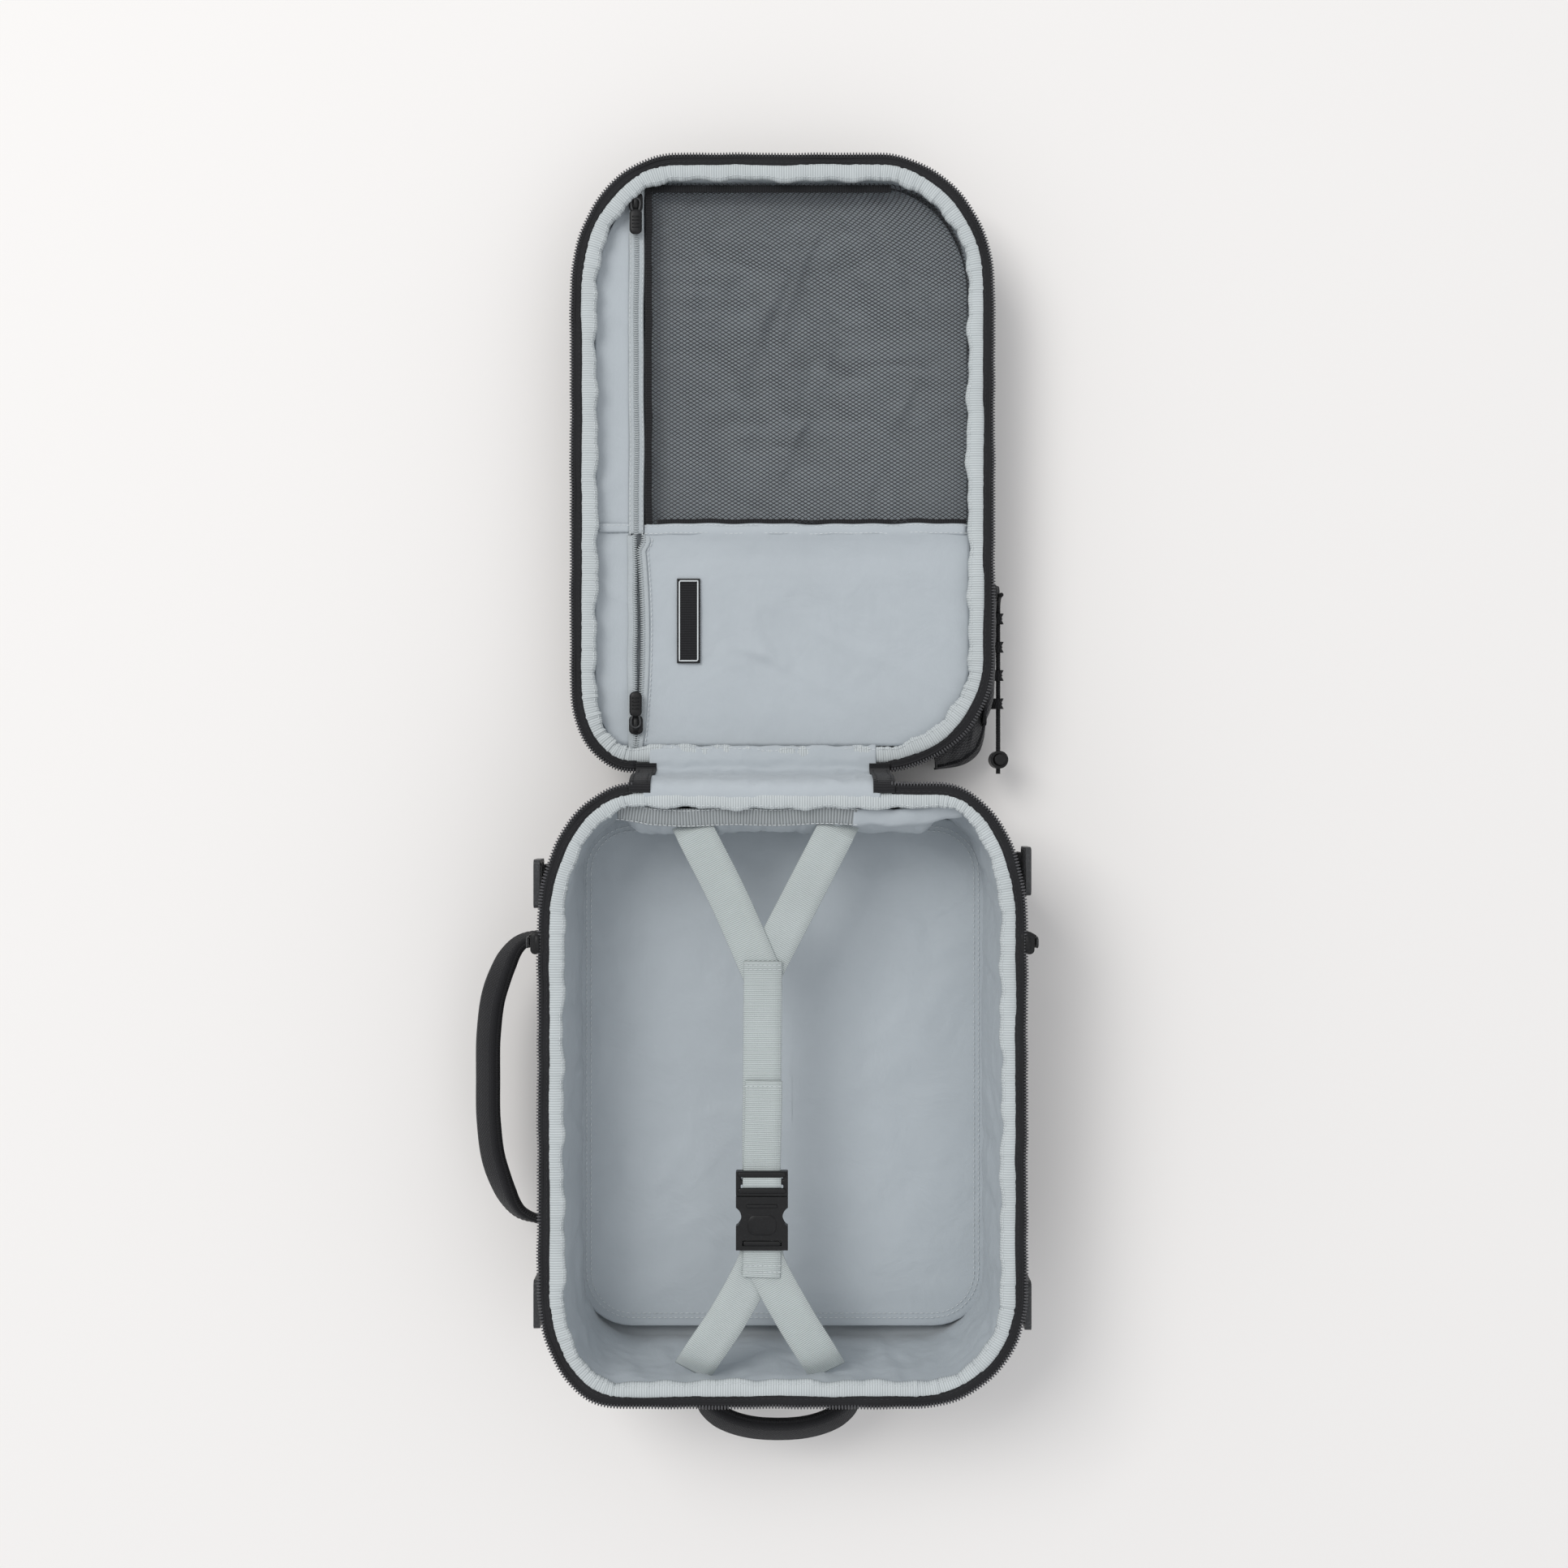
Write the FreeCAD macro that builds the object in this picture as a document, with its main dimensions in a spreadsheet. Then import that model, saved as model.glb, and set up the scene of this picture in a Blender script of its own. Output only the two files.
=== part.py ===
import FreeCAD, Part
import math
import os

import Sketcher

# Clamshell travel backpack lying open on its back. Millimetres, +Z up, +Y from the main half to the lid.
# The origin is the centre of the back pads' flat face, under the main half.

doc = FreeCAD.newDocument("travel_backpack")
sheet = doc.addObject("Spreadsheet::Sheet", "sizes")
SIZES = dict(
    main_wide=308, main_long=394, main_corner=56, main_high=125,
    lid_wide=280, lid_long=409, lid_corner=62, lid_high=65,
    hinge_y=204.75, hinge_z=95.3, hinge_x=-13, hinge_span=166,
    shell_wall=3, lining_wall=1.5, play=0.3, wall_taper=3,
    pad_high=12, pad_wide=42, pad_long=330, pad_at=114,
    sheet_thick=1.5, foam_thick=6, divider_thick=4, divider_z=38,
    tape_wide=7, tape_thick=2.4, binding_wide=8.5, binding_thick=5.4,
    lid_binding_wide=12, lid_cover_z=51, cover_thick=1.6,
    web_wide=25, web_thick=1.6, web_z=110, splay_up=27.5, splay_down=33,
    strap_wide=56, strap_long=212, strap_thick=9, strap_at=50, strap_y=-150,
    handle_thick=13, handle_high=20, side_span=186, side_reach=42, top_span=100, top_reach=38,
    handle_z=65, handle_off=9, lock_wide=31, lock_long=24, lock_thick=4, lock_z=96,
    buckle_wide=33, buckle_thick=7, cord_r=1.5,
)
for row, (name, value) in enumerate(SIZES.items(), 1):
    sheet.set(f"A{row}", name)
    sheet.set(f"B{row}", str(value))
    sheet.setAlias(f"B{row}", name)
doc.recompute()

NODES = []
PLAN_Y = "2*$hinge_y"


def text(value):
    """An expression on the sheet: $name is one of its cells."""
    return str(value).replace("$", "sizes.")


def number(value):
    return float(sheet.evalExpression(text(value)))


def bind(thing, prop, value):
    thing.setExpression(prop, text(value))


def place(thing, x=0, y=0, z=0, turn=0, axis=(0, 0, 1)):
    thing.Placement = FreeCAD.Placement(
        FreeCAD.Vector(number(x), number(y), number(z)), FreeCAD.Rotation(FreeCAD.Vector(*axis), number(turn))
    )
    for letter, value in zip("xyz", (x, y, z)):
        bind(thing, f"Placement.Base.{letter}", value)


def node(thing, label):
    thing.Label = label
    NODES.append(thing)
    return thing


def new_sketch(body, name, role="XY_Plane", lift=0):
    sketch = body.newObject("Sketcher::SketchObject", name)
    plane = next(f for f in body.Origin.OriginFeatures if f.Role == role)
    sketch.AttachmentSupport = [(plane, "")]
    sketch.MapMode = "FlatFace"
    if lift:
        bind(sketch, "AttachmentOffset.Base.z", lift)
    return sketch


def rounded(body, name, wide, deep, corner, lift=0):
    """A rounded rectangle centred on the body's origin."""
    sketch = new_sketch(body, name, lift=lift)
    r = number(corner)
    w = number(wide) / 2
    d = number(deep) / 2
    corners = [(w - r, r - d, -90), (w - r, d - r, 0), (r - w, d - r, 90), (r - w, r - d, 180)]
    starts = [(r - w, -d), (w, r - d), (w - r, d), (-w, d - r)]
    ends = [(w - r, -d), (w, d - r), (r - w, d), (-w, r - d)]
    for i in range(4):
        a = FreeCAD.Vector(*starts[i], 0)
        b = FreeCAD.Vector(*ends[i], 0)
        sketch.addGeometry(Part.LineSegment(a, b))
        x, y, start = corners[i]
        circle = Part.Circle(FreeCAD.Vector(x, y, 0), FreeCAD.Vector(0, 0, 1), r)
        sketch.addGeometry(Part.ArcOfCircle(circle, math.radians(start), math.radians(start + 90)))
    for i in range(8):
        sketch.addConstraint(Sketcher.Constraint("Tangent", i, 2, (i + 1) % 8, 1))
    for i in (0, 4):
        sketch.addConstraint(Sketcher.Constraint("Horizontal", i))
    for i in (2, 6):
        sketch.addConstraint(Sketcher.Constraint("Vertical", i))
    for i in (3, 5, 7):
        sketch.addConstraint(Sketcher.Constraint("Equal", 1, i))
    sketch.addConstraint(Sketcher.Constraint("Symmetric", 1, 3, 5, 3, -1, 1))
    radius = sketch.addConstraint(Sketcher.Constraint("Radius", 1, r))
    across = sketch.addConstraint(Sketcher.Constraint("DistanceX", 5, 3, 3, 3, 2 * (w - r)))
    along = sketch.addConstraint(Sketcher.Constraint("DistanceY", 1, 3, 3, 3, 2 * (d - r)))
    bind(sketch, f"Constraints[{radius}]", corner)
    bind(sketch, f"Constraints[{across}]", f"{wide} - 2*({corner})")
    bind(sketch, f"Constraints[{along}]", f"{deep} - 2*({corner})")
    return sketch


def pad(body, sketch, high, taper=None):
    feature = body.newObject("PartDesign::Pad", "Pad")
    feature.Profile = sketch
    bind(feature, "Length", high)
    if taper:
        bind(feature, "TaperAngle", taper)
    return feature


def pocket(body, sketch, high, taper=None):
    """A pocket cut upwards from its sketch."""
    feature = body.newObject("PartDesign::Pocket", "Pocket")
    feature.Profile = sketch
    feature.Reversed = True
    bind(feature, "Length", high)
    if taper:
        bind(feature, "TaperAngle", taper)
    return feature


def round_edges(body, feature, radius, picked):
    doc.recompute()
    names = [f"Edge{i + 1}" for i, e in enumerate(feature.Shape.Edges) if picked(e.BoundBox)]
    fillet = body.newObject("PartDesign::Fillet", "Fillet")
    fillet.Base = (feature, names)
    bind(fillet, "Radius", radius)
    return fillet


def slab(label, wide, deep, corner, thick, x=0, y=0, z=0, soften=None):
    """A rounded plate, its upper and lower edges softened where asked."""
    body = doc.addObject("PartDesign::Body", label)
    feature = pad(body, rounded(body, "Outline", wide, deep, corner), thick)
    if soften:
        top = number(thick)
        flat = lambda b: b.ZLength < 1e-6 and (b.ZMax < 1e-6 or abs(b.ZMin - top) < 1e-6)
        round_edges(body, feature, soften, flat)
    place(body, x, y, z)
    return node(body, label)


def tray(label, wide, deep, corner, high, wall, floor, y=0, z=0, taper="$wall_taper", edge=12):
    """An open tray with leaning walls and a rounded lower edge."""
    body = doc.addObject("PartDesign::Body", label)
    pad(body, rounded(body, "Outside", wide, deep, corner), high, taper)
    inside = rounded(body, "Inside", f"{wide} - 2*({wall})", f"{deep} - 2*({wall})", f"{corner} - {wall}", lift=floor)
    doc.recompute()
    hollow = pocket(body, inside, high, taper)
    level = number(floor)
    inner = round_edges(body, hollow, f"{edge} - {wall}", lambda b: b.ZLength < 1e-6 and abs(b.ZMin - level) < 1e-6)
    round_edges(body, inner, edge, lambda b: b.ZMax < 1e-6)
    place(body, 0, y, z)
    return node(body, label)


def ring(label, wide, deep, corner, band, thick, y=0, z=0, gap=0, gap_side=1):
    """A flat rounded ring, left open over the hinge where gap is the open width."""
    body = doc.addObject("PartDesign::Body", label)
    pad(body, rounded(body, "Outside", wide, deep, corner), thick)
    inside = rounded(body, "Inside", f"{wide} - 2*({band})", f"{deep} - 2*({band})", f"{corner} - {band}")
    doc.recompute()
    pocket(body, inside, thick)
    if gap:
        sketch = new_sketch(body, "Gap")
        near = number(deep) / 2 - number(band) * 2
        far = number(deep) / 2 + 5
        half = number(gap) / 2
        mid = number("$hinge_x")
        points = [(mid - half, near), (mid + half, near), (mid + half, far), (mid - half, far)]
        frame_lines(sketch, [(x, gap_side * yy) for x, yy in points])
        sizes = [("DistanceX", 0, 1, "$hinge_x - " + f"({gap})/2"), ("DistanceX", 1, 1, f"$hinge_x + ({gap})/2")]
        for kind, line, end, value in sizes:
            made = sketch.addConstraint(Sketcher.Constraint(kind, -1, 1, line, end, number(value)))
            bind(sketch, f"Constraints[{made}]", value)
        doc.recompute()
        pocket(body, sketch, thick)
    place(body, 0, y, z)
    return node(body, label)


def frame_lines(sketch, points):
    """A closed run of lines, square ones kept square."""
    count = len(points)
    for i in range(count):
        a = FreeCAD.Vector(*points[i], 0)
        b = FreeCAD.Vector(*points[(i + 1) % count], 0)
        sketch.addGeometry(Part.LineSegment(a, b))
    for i in range(count):
        sketch.addConstraint(Sketcher.Constraint("Coincident", i, 2, (i + 1) % count, 1))
        x0, y0 = points[i]
        x1, y1 = points[(i + 1) % count]
        if abs(y0 - y1) < 1e-9:
            sketch.addConstraint(Sketcher.Constraint("Horizontal", i))
        if abs(x0 - x1) < 1e-9:
            sketch.addConstraint(Sketcher.Constraint("Vertical", i))


def box(name, long_x, long_y, long_z, x, y, z, turn=0):
    """A plain block given by its size and the centre of its lower face."""
    thing = doc.addObject("Part::Box", name)
    bind(thing, "Length", long_x)
    bind(thing, "Width", long_y)
    bind(thing, "Height", long_z)
    a = math.radians(turn)
    half_x = f"({long_x})/2"
    half_y = f"({long_y})/2"
    cos = round(math.cos(a), 6)
    sin = round(math.sin(a), 6)
    place(
        thing,
        f"{x} - {half_x}*{cos} + {half_y}*{sin}",
        f"{y} - {half_x}*{sin} - {half_y}*{cos}",
        z,
        turn,
    )
    return thing


def rod(name, radius, long, x, y, z, axis=(0, 0, 1)):
    thing = doc.addObject("Part::Cylinder", name)
    bind(thing, "Radius", radius)
    bind(thing, "Height", long)
    turn = FreeCAD.Rotation(FreeCAD.Vector(0, 0, 1), FreeCAD.Vector(*axis))
    place(thing, x, y, z)
    thing.Placement.Rotation = turn
    return thing


def softened(source, label, radius):
    """The same block with all its edges rounded."""
    doc.recompute()
    fillet = doc.addObject("Part::Fillet", label)
    fillet.Base = source
    size = number(radius)
    fillet.Edges = [(i + 1, size, size) for i in range(len(source.Shape.Edges))]
    return node(fillet, label)


def block(name, long_x, long_y, long_z, x, y, z, radius, turn=0):
    """A rounded block that goes into a group, so not a node by itself."""
    made = softened(box(f"{name}_block", long_x, long_y, long_z, x, y, z, turn), name, radius)
    NODES.remove(made)
    return made


def cut(label, base, tool):
    thing = doc.addObject("Part::Cut", label)
    thing.Base = base
    thing.Tool = tool
    return thing


def common(label, a, b):
    thing = doc.addObject("Part::Common", label)
    thing.Base = a
    thing.Tool = b
    return thing


def fused(label, things):
    thing = doc.addObject("Part::MultiFuse", label)
    thing.Shapes = things
    return thing


def group(label, things):
    """Several separate solids of one kind kept in one node."""
    thing = doc.addObject("Part::Compound", label)
    thing.Links = things
    return node(thing, label)


def mirrored(label, source):
    thing = doc.addObject("Part::Mirroring", label)
    thing.Source = source
    thing.Normal = (1, 0, 0)
    return node(thing, label)


def bow(label, span, reach, thick, high, x, y, z, turn):
    """A padded grab handle: the strip between two arcs, bowed along -X, then turned."""
    body = doc.addObject("PartDesign::Body", label)
    sketch = new_sketch(body, "Bow")
    for k, (half_text, sag_text) in enumerate(
        [(f"({span})/2", reach), (f"({span})/2 - {thick}", f"{reach} - {thick}")]
    ):
        half = number(half_text)
        sag = number(sag_text)
        radius = (half * half + sag * sag) / (2 * sag)
        centre = radius - sag
        angle = math.atan2(half, -centre)
        circle = Part.Circle(FreeCAD.Vector(centre, 0, 0), FreeCAD.Vector(0, 0, 1), radius)
        sketch.addGeometry(Part.ArcOfCircle(circle, angle, 2 * math.pi - angle))
    a = [sketch.getPoint(0, 1), sketch.getPoint(0, 2), sketch.getPoint(1, 1), sketch.getPoint(1, 2)]
    sketch.addGeometry(Part.LineSegment(a[0], a[2]))
    sketch.addGeometry(Part.LineSegment(a[1], a[3]))
    for line, end in ((2, 1), (3, 2)):
        sketch.addConstraint(Sketcher.Constraint("Coincident", 0, end, line, 1))
        sketch.addConstraint(Sketcher.Constraint("Coincident", 1, end, line, 2))
        sketch.addConstraint(Sketcher.Constraint("Vertical", line))
    for arc, half_text, sag_text in ((0, f"({span})/2", reach), (1, f"({span})/2 - {thick}", f"{reach} - {thick}")):
        sketch.addConstraint(Sketcher.Constraint("PointOnObject", arc, 3, -1))
        radius_text = f"(({half_text})^2 + ({sag_text})^2) / (2*({sag_text}))"
        made = sketch.addConstraint(Sketcher.Constraint("Radius", arc, number(radius_text)))
        bind(sketch, f"Constraints[{made}]", radius_text)
        centre_text = f"{radius_text} - ({sag_text})"
        made = sketch.addConstraint(Sketcher.Constraint("DistanceX", -1, 1, arc, 3, number(centre_text)))
        bind(sketch, f"Constraints[{made}]", centre_text)
    sketch.addConstraint(Sketcher.Constraint("PointOnObject", 0, 1, -2))
    feature = pad(body, sketch, high)
    feature.Midplane = True
    round_edges(body, feature, 4, lambda b: b.ZLength < 1e-6 and b.YLength > number(thick) * 1.5)
    place(body, x, y, z, turn)
    return node(body, label)


def ladder_lock(label, x, y, z, turn, axis, wide="$lock_wide", long="$lock_long", thick="$lock_thick"):
    """A three-bar webbing lock; its first bar lies on the body's X axis, the rest towards +Y."""
    body = doc.addObject("PartDesign::Body", label)
    outline = rounded(body, "Outline", wide, long, 3)
    bind(outline, "AttachmentOffset.Base.y", f"({long})/2 - 2")
    frame = pad(body, outline, thick)
    frame.Midplane = True
    for k, start in enumerate((0, 1)):
        window = rounded(body, f"Window{k}", f"{wide} - 5", f"({long})/2 - 4.5", 1, lift=f"-({thick})")
        bind(window, "AttachmentOffset.Base.y", f"({long})/2 - 2 + {2 * start - 1}*(({long})/4 - 0.9)")
        doc.recompute()
        pocket(body, window, f"2*({thick})")
    place(body, x, y, z, turn, axis)
    return node(body, label)


def main_half():
    tray("main_shell", "$main_wide - 20", "$main_long - 20", "$main_corner - 6",
         "$main_high - $pad_high - 5.8", "$shell_wall", "$shell_wall", z="$pad_high", edge=14)
    tray("main_lining", "$main_wide - 26.6", "$main_long - 26.6", "$main_corner - 9.3",
         "$main_high - 6.6 - 23.4", "$lining_wall", "$lining_wall", z="23.4", edge=11)
    slab("frame_sheet", "$main_wide - 54", "$main_long - 54", 30, "$sheet_thick", z="$pad_high + $shell_wall + $play")
    slab("back_foam", "$main_wide - 42", "$main_long - 42", 34, "$foam_thick - 0.2", z="17.2", soften=2)
    slab("laptop_divider", "$main_wide - 32", "$main_long - 54", 44, "$divider_thick", y=4, z="$divider_z", soften=1.4)
    ring("main_zip_tape", "$main_wide", "$main_long", "$main_corner", "$tape_wide", "$tape_thick",
         z="$main_high - 1 - $tape_thick", gap="$hinge_span")
    ring("main_binding", "$main_wide - 2*$tape_wide - 0.6", "$main_long - 2*$tape_wide - 0.6",
         "$main_corner - $tape_wide", "$binding_wide", "$binding_thick", z="$main_high - $binding_thick")


def end_pocket():
    panel = box("end_panel_block", 218, 1.6, 76, 0, 174.5, 42.6)
    softened(panel, "end_pocket_panel", 0.6)
    band = box("end_band_block", 151, 4.6, 13, -28.5, 171, 104)
    softened(band, "end_pocket_elastic", 1.6)


def packing_straps():
    """Two straps from the hinge end meet the centre webbing; two more come up to the socket. They lie in layers."""
    layer = "($web_thick + 0.4)"
    runs = [("centre", 150, -12, 18, 0, 0), ("upper_left", 86, -30.3, 117.8, 27.5, 1), ("upper_right", 86, 7.9, 117.7, -26.5, 2),
            ("lower_left", 86, -33.2, -136.4, -27, -1), ("lower_right", 86, 3.1, -136.5, 29, -2)]
    straps = []
    for label, long, x, y, turn, level in runs:
        z = f"$web_z + {level}*{layer}"
        straps.append(block(f"pack_{label}", "$web_wide", long, "$web_thick", x, y, z, 0.5, turn))
    group("pack_straps", straps)


def buckle():
    """Side-release buckle: socket to the lower straps, plug with two springy arms on the centre webbing."""
    z = "$web_z + $web_thick + 0.4"
    thick = "$buckle_thick"
    x = -13
    outer = box("socket_block", "$buckle_wide", 34, thick, x, -82, z)
    hollow = box("socket_hollow", "$buckle_wide - 4", 24, f"{thick} - 3", x, -76.9, f"{z} + 1.5")
    shell = cut("socket_shell", outer, hollow)
    notches = [rod(f"notch_{k}", 7, 20, f"{x} + {s}*($buckle_wide/2 + 3.6)", -78, z) for k, s in enumerate((-1, 1))]
    slot = box("socket_slot", "$buckle_wide - 8", 3.4, 20, x, -94.5, z)
    for k, tool in enumerate(notches + [slot]):
        shell = cut(f"socket_cut_{k}", shell, tool)
    node(shell, "buckle_socket")
    frame = box("plug_block", "$buckle_wide", 15.5, thick, x, -56.8, z)
    for k, y in enumerate((-52.6, -59.2)):
        window = box(f"plug_window_{k}", "$buckle_wide - 6", 3.6, 20, x, y, f"{z} - 5")
        frame = cut(f"plug_cut_{k}", frame, window)
    tongue = box("plug_tongue", 6, 20.2, f"{thick} - 4", x, -74.4, f"{z} + 2")
    node(fused("buckle_plug", [frame, tongue]), "buckle_plug")
    arm = box("arm_block", 4, 19.5, f"{thick} - 4", f"{x} - 9", -74.6, f"{z} + 2")
    tip = rod("arm_tip", 3.4, f"{thick} - 4", f"{x} - 9.6", -80.6, f"{z} + 2")
    node(fused("buckle_arm_left", [arm, tip]), "buckle_arm_left")
    arm = box("arm_block_r", 4, 19.5, f"{thick} - 4", f"{x} + 9", -74.6, f"{z} + 2")
    tip = rod("arm_tip_r", 3.4, f"{thick} - 4", f"{x} + 9.6", -80.6, f"{z} + 2")
    node(fused("buckle_arm_right", [arm, tip]), "buckle_arm_right")


def handles():
    wall = "$main_wide/2 - 7.2"
    bow("side_handle", "$side_span", "$side_reach", "$handle_thick", "$handle_high",
        f"-({wall}) - $handle_off", 2.5, "$handle_z", 0)
    bow("top_handle", "$top_span", "$top_reach - 4", "$handle_thick", "$handle_high",
        -3, "-($main_long/2 - 7.2) - $handle_off", "$handle_z", 90)
    side = [block(f"side_anchor_{k}", "$handle_off + 9", 10, 14, f"-({wall}) - ($handle_off + 9)/2 - 0.2",
                  f"2.5 + {s}*($side_span/2 + 5.6)", "$handle_z - 7", 2) for k, s in enumerate((-1, 1))]
    top = [block(f"top_anchor_{k}", 10, "$handle_off + 9", 14, f"-3 + {s}*($top_span/2 + 5.6)",
                 "-($main_long/2 - 7.2) - ($handle_off + 9)/2 - 0.2", "$handle_z - 7", 2) for k, s in enumerate((-1, 1))]
    group("handle_anchors", side + top)


def compression():
    """Four webbing tabs on the main half, each with a lock that hangs on it, and four strap ends on the lid."""
    tabs = []
    places = [("left_low", -1, -135), ("left_high", -1, 133), ("right_low", 1, -136), ("right_high", 1, 141)]
    for label, side, y in places:
        tabs.append(block(f"tab_{label}", 2, "$web_wide", 26, f"{side}*($main_wide/2 - 2.6)", y, "$lock_z - 27", 0.6))
        ladder_lock(f"compression_lock_{label}", f"{side}*($main_wide/2 + 2.5)", y, "$lock_z - 4", 90 if side > 0 else -90, (0, 0, 1))
        lock = NODES[-1]
        turn = FreeCAD.Rotation(FreeCAD.Vector(0, 0, 1), 90 * side) * FreeCAD.Rotation(FreeCAD.Vector(1, 0, 0), 90)
        lock.Placement = FreeCAD.Placement(lock.Placement.Base, turn)
    tabs += [block(f"wing_{k}", 25, 12, 2.2, f"{s}*$strap_at", "$strap_y + $strap_long + 112", 9.5, 0.5)
             for k, s in enumerate((-1, 1))]
    group("webbing_tabs", tabs)
    ends = []
    for k, (side, y) in enumerate(((-1, 298), (-1, 520), (1, 362), (1, 520))):
        ends.append(block(f"lid_end_{k}", 2.4, "$web_wide", 40, f"{side}*($lid_wide/2 - 3.4)", y, 12, 0.6))
    group("compression_straps", ends)


def hinge():
    """The fabric strip between the halves, and the webbing tabs that close its ends."""
    y = "$main_long/2 + 3.4"
    z = "$lid_high - 4"
    softened(box("gusset_block", "$hinge_span - 24", 2, "$main_high - $lid_high + 2", "$hinge_x", y, z), "hinge_gusset", 0.6)
    ends = [block(f"hinge_tab_{k}", 11, 2.6, "$main_high - $lid_high + 2", f"$hinge_x + {s}*($hinge_span/2 - 5.6)",
                           y, z, 0.8) for k, s in enumerate((-1, 1))]
    group("hinge_tabs", ends)


def main_sliders():
    """The two sliders of the long zip wait at its ends, on the outer edge of the tape."""
    sliders = []
    for label, side in (("left", -1), ("right", 1)):
        sliders.append(block(f"main_slider_{label}", 5, 13, 8, f"{side}*($main_wide/2 + 3.1)", 96, "$main_high - 8.6", 1.4))
        pull = box(f"main_pull_{label}_block", 2.4, 8, 30, f"{side}*($main_wide/2 + 7.8)", 96, "$main_high - 36")
        softened(pull, f"main_pull_{label}", 1)
    group("main_sliders", sliders)


def harness():
    """Back pads, yoke, shoulder straps with their webbing, hooks, and the trolley sleeve. All lie at floor level."""
    pads = []
    for k, side in enumerate((-1, 1)):
        slab(f"back_pad_{k}", "$pad_wide", "$pad_long", 16, "$pad_high - $play", f"{side}*$pad_at", 0, 0, soften=4)
        pads.append(NODES.pop())
    slab("spine_pad", 28, 110, 10, "$pad_high - $play", 0, 30, 0, soften=4)
    pads.append(NODES.pop())
    group("back_pads", pads)
    slab("harness_yoke", 160, 26, 8, 2, 0, "$strap_y - 14", "9.7")
    end = "$strap_y + $strap_long"
    strap = slab("shoulder_strap_right", "$strap_wide", "$strap_long", 24, "$strap_thick", "$strap_at",
                 "$strap_y + $strap_long/2", 0, soften=3)
    mirrored("shoulder_strap_left", strap)
    webs = [block("lower_web", "$web_wide", 74, 2, "$strap_at", f"{end} + 48", 1.2, 0.6),
            block("sternum_web", 14, 74, 2, 12.6, -88, 2, 0.6)]
    mirrored("strap_webbing_left", group("strap_webbing_right", webs))
    lock = ladder_lock("strap_lock", "$strap_at", f"{end} + 2.8", 5.6, 0, (0, 0, 1), thick=3.6, long=22)
    NODES.remove(lock)
    hook = cut("hook", box("hook_block", 28, 13, 4.6, "$strap_at", f"{end} + 92.2", 0.3),
               box("hook_window", 20, 5, 20, "$strap_at", f"{end} + 92.2", -5))
    clip = block("sternum_clip", 14.4, 22, 5, 12.6, -39.6, 0.6, 1.2)
    mirrored("strap_hardware_left", group("strap_hardware_right", [lock, hook, clip]))
    ring_side = cut("ring", box("ring_block", 30, 9, 3, "$strap_at", f"{end} + 105", 6.2),
                    box("ring_window", 24, 4, 20, "$strap_at", f"{end} + 105", -5))
    other = doc.addObject("Part::Mirroring", "ring_other")
    other.Source = ring_side
    other.Normal = (1, 0, 0)
    group("anchor_rings", [ring_side, other])
    outer = box("sleeve_block", 172, 66, 6.5, 0, 124, 5.2)
    inner = box("sleeve_hollow", 164, 90, 6, 0, 124, 6.7)
    node(cut("sleeve_cut", outer, inner), "trolley_sleeve")


def lid_half():
    y = PLAN_Y
    panel = tray("front_tray", "$lid_wide - 26", "$lid_long - 26", "$lid_corner - 9", 12, 2.4, 2.4,
                    y=y, z=0, taper=None, edge=6)
    NODES.remove(panel)
    slot = box("front_slot", 176, 20, 5.6, 0, f"{y} + $lid_long/2 - 13", 4.6)
    node(cut("front_cut", panel, slot), "front_pocket_panel")
    softened(box("front_slider_block", 9, 4, 10, -96, f"{y} + $lid_long/2 - 8.9", 1.2), "front_slider", 1.2)
    softened(box("front_pull_block", 24, 2, 6, -84, f"{y} + $lid_long/2 - 5.6", 3.2), "front_pull", 0.8)
    tray("lid_shell", "$lid_wide - 20", "$lid_long - 20", "$lid_corner - 7", "$lid_high - 17.1", "$shell_wall - 0.5",
         "$shell_wall - 0.5", y=y, z=12.3, edge=8)
    tray("lid_lining", "$lid_wide - 25.6", "$lid_long - 25.6", "$lid_corner - 10", "$lid_high - 21.3", "$lining_wall",
         "$lining_wall", y=y, z=15.2, edge=5)
    ring("lid_zip_tape", "$lid_wide", "$lid_long", "$lid_corner", "$tape_wide", "$tape_thick",
         y=y, z="$lid_high - 1 - $tape_thick", gap="$hinge_span", gap_side=-1)
    ring("lid_binding", "$lid_wide - 2*$tape_wide - 0.6", "$lid_long - 2*$tape_wide - 0.6",
         "$lid_corner - $tape_wide", "$lid_binding_wide", "$binding_thick - 0.8", y=y, z="$lid_high - $binding_thick + 0.8")


def cover_piece(label, left, right, low, high):
    """The part of the lid's inner cover between two X and two Y values."""
    plate = slab(f"{label}_plate", "$lid_wide - 28.4", "$lid_long - 28.4", "$lid_corner - 13", "$cover_thick",
                 0, PLAN_Y, "$lid_cover_z")
    NODES.remove(plate)
    window = box(f"{label}_window", right - left, high - low, 10, (left + right) / 2, (low + high) / 2, "$lid_cover_z - 4")
    return node(common(f"{label}_common", plate, window), label)


def lid_cover():
    cover_piece("lid_column", -140, -103.6, 200, 620)
    cover_piece("mesh_pocket", -91.6, 140, 369, 620)
    cover_piece("lower_pocket", -92.6, 140, 200, 368.4)
    z = "$lid_cover_z + $cover_thick + 0.3"
    hems = [block("mesh_edge", 7, 228, 1.2, -87.6, 484, z, 0.4), block("mesh_hem", 206, 6, 1.2, 18, 372.8, z, 0.4),
            block("lower_hem", 206, 8, 1.6, 18, 362.6, z, 0.5)]
    group("pocket_hems", hems)
    softened(box("patch_block", 15.5, 56.5, 1, -62.7, 305.5, z), "woven_patch", 0.3)


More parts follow.
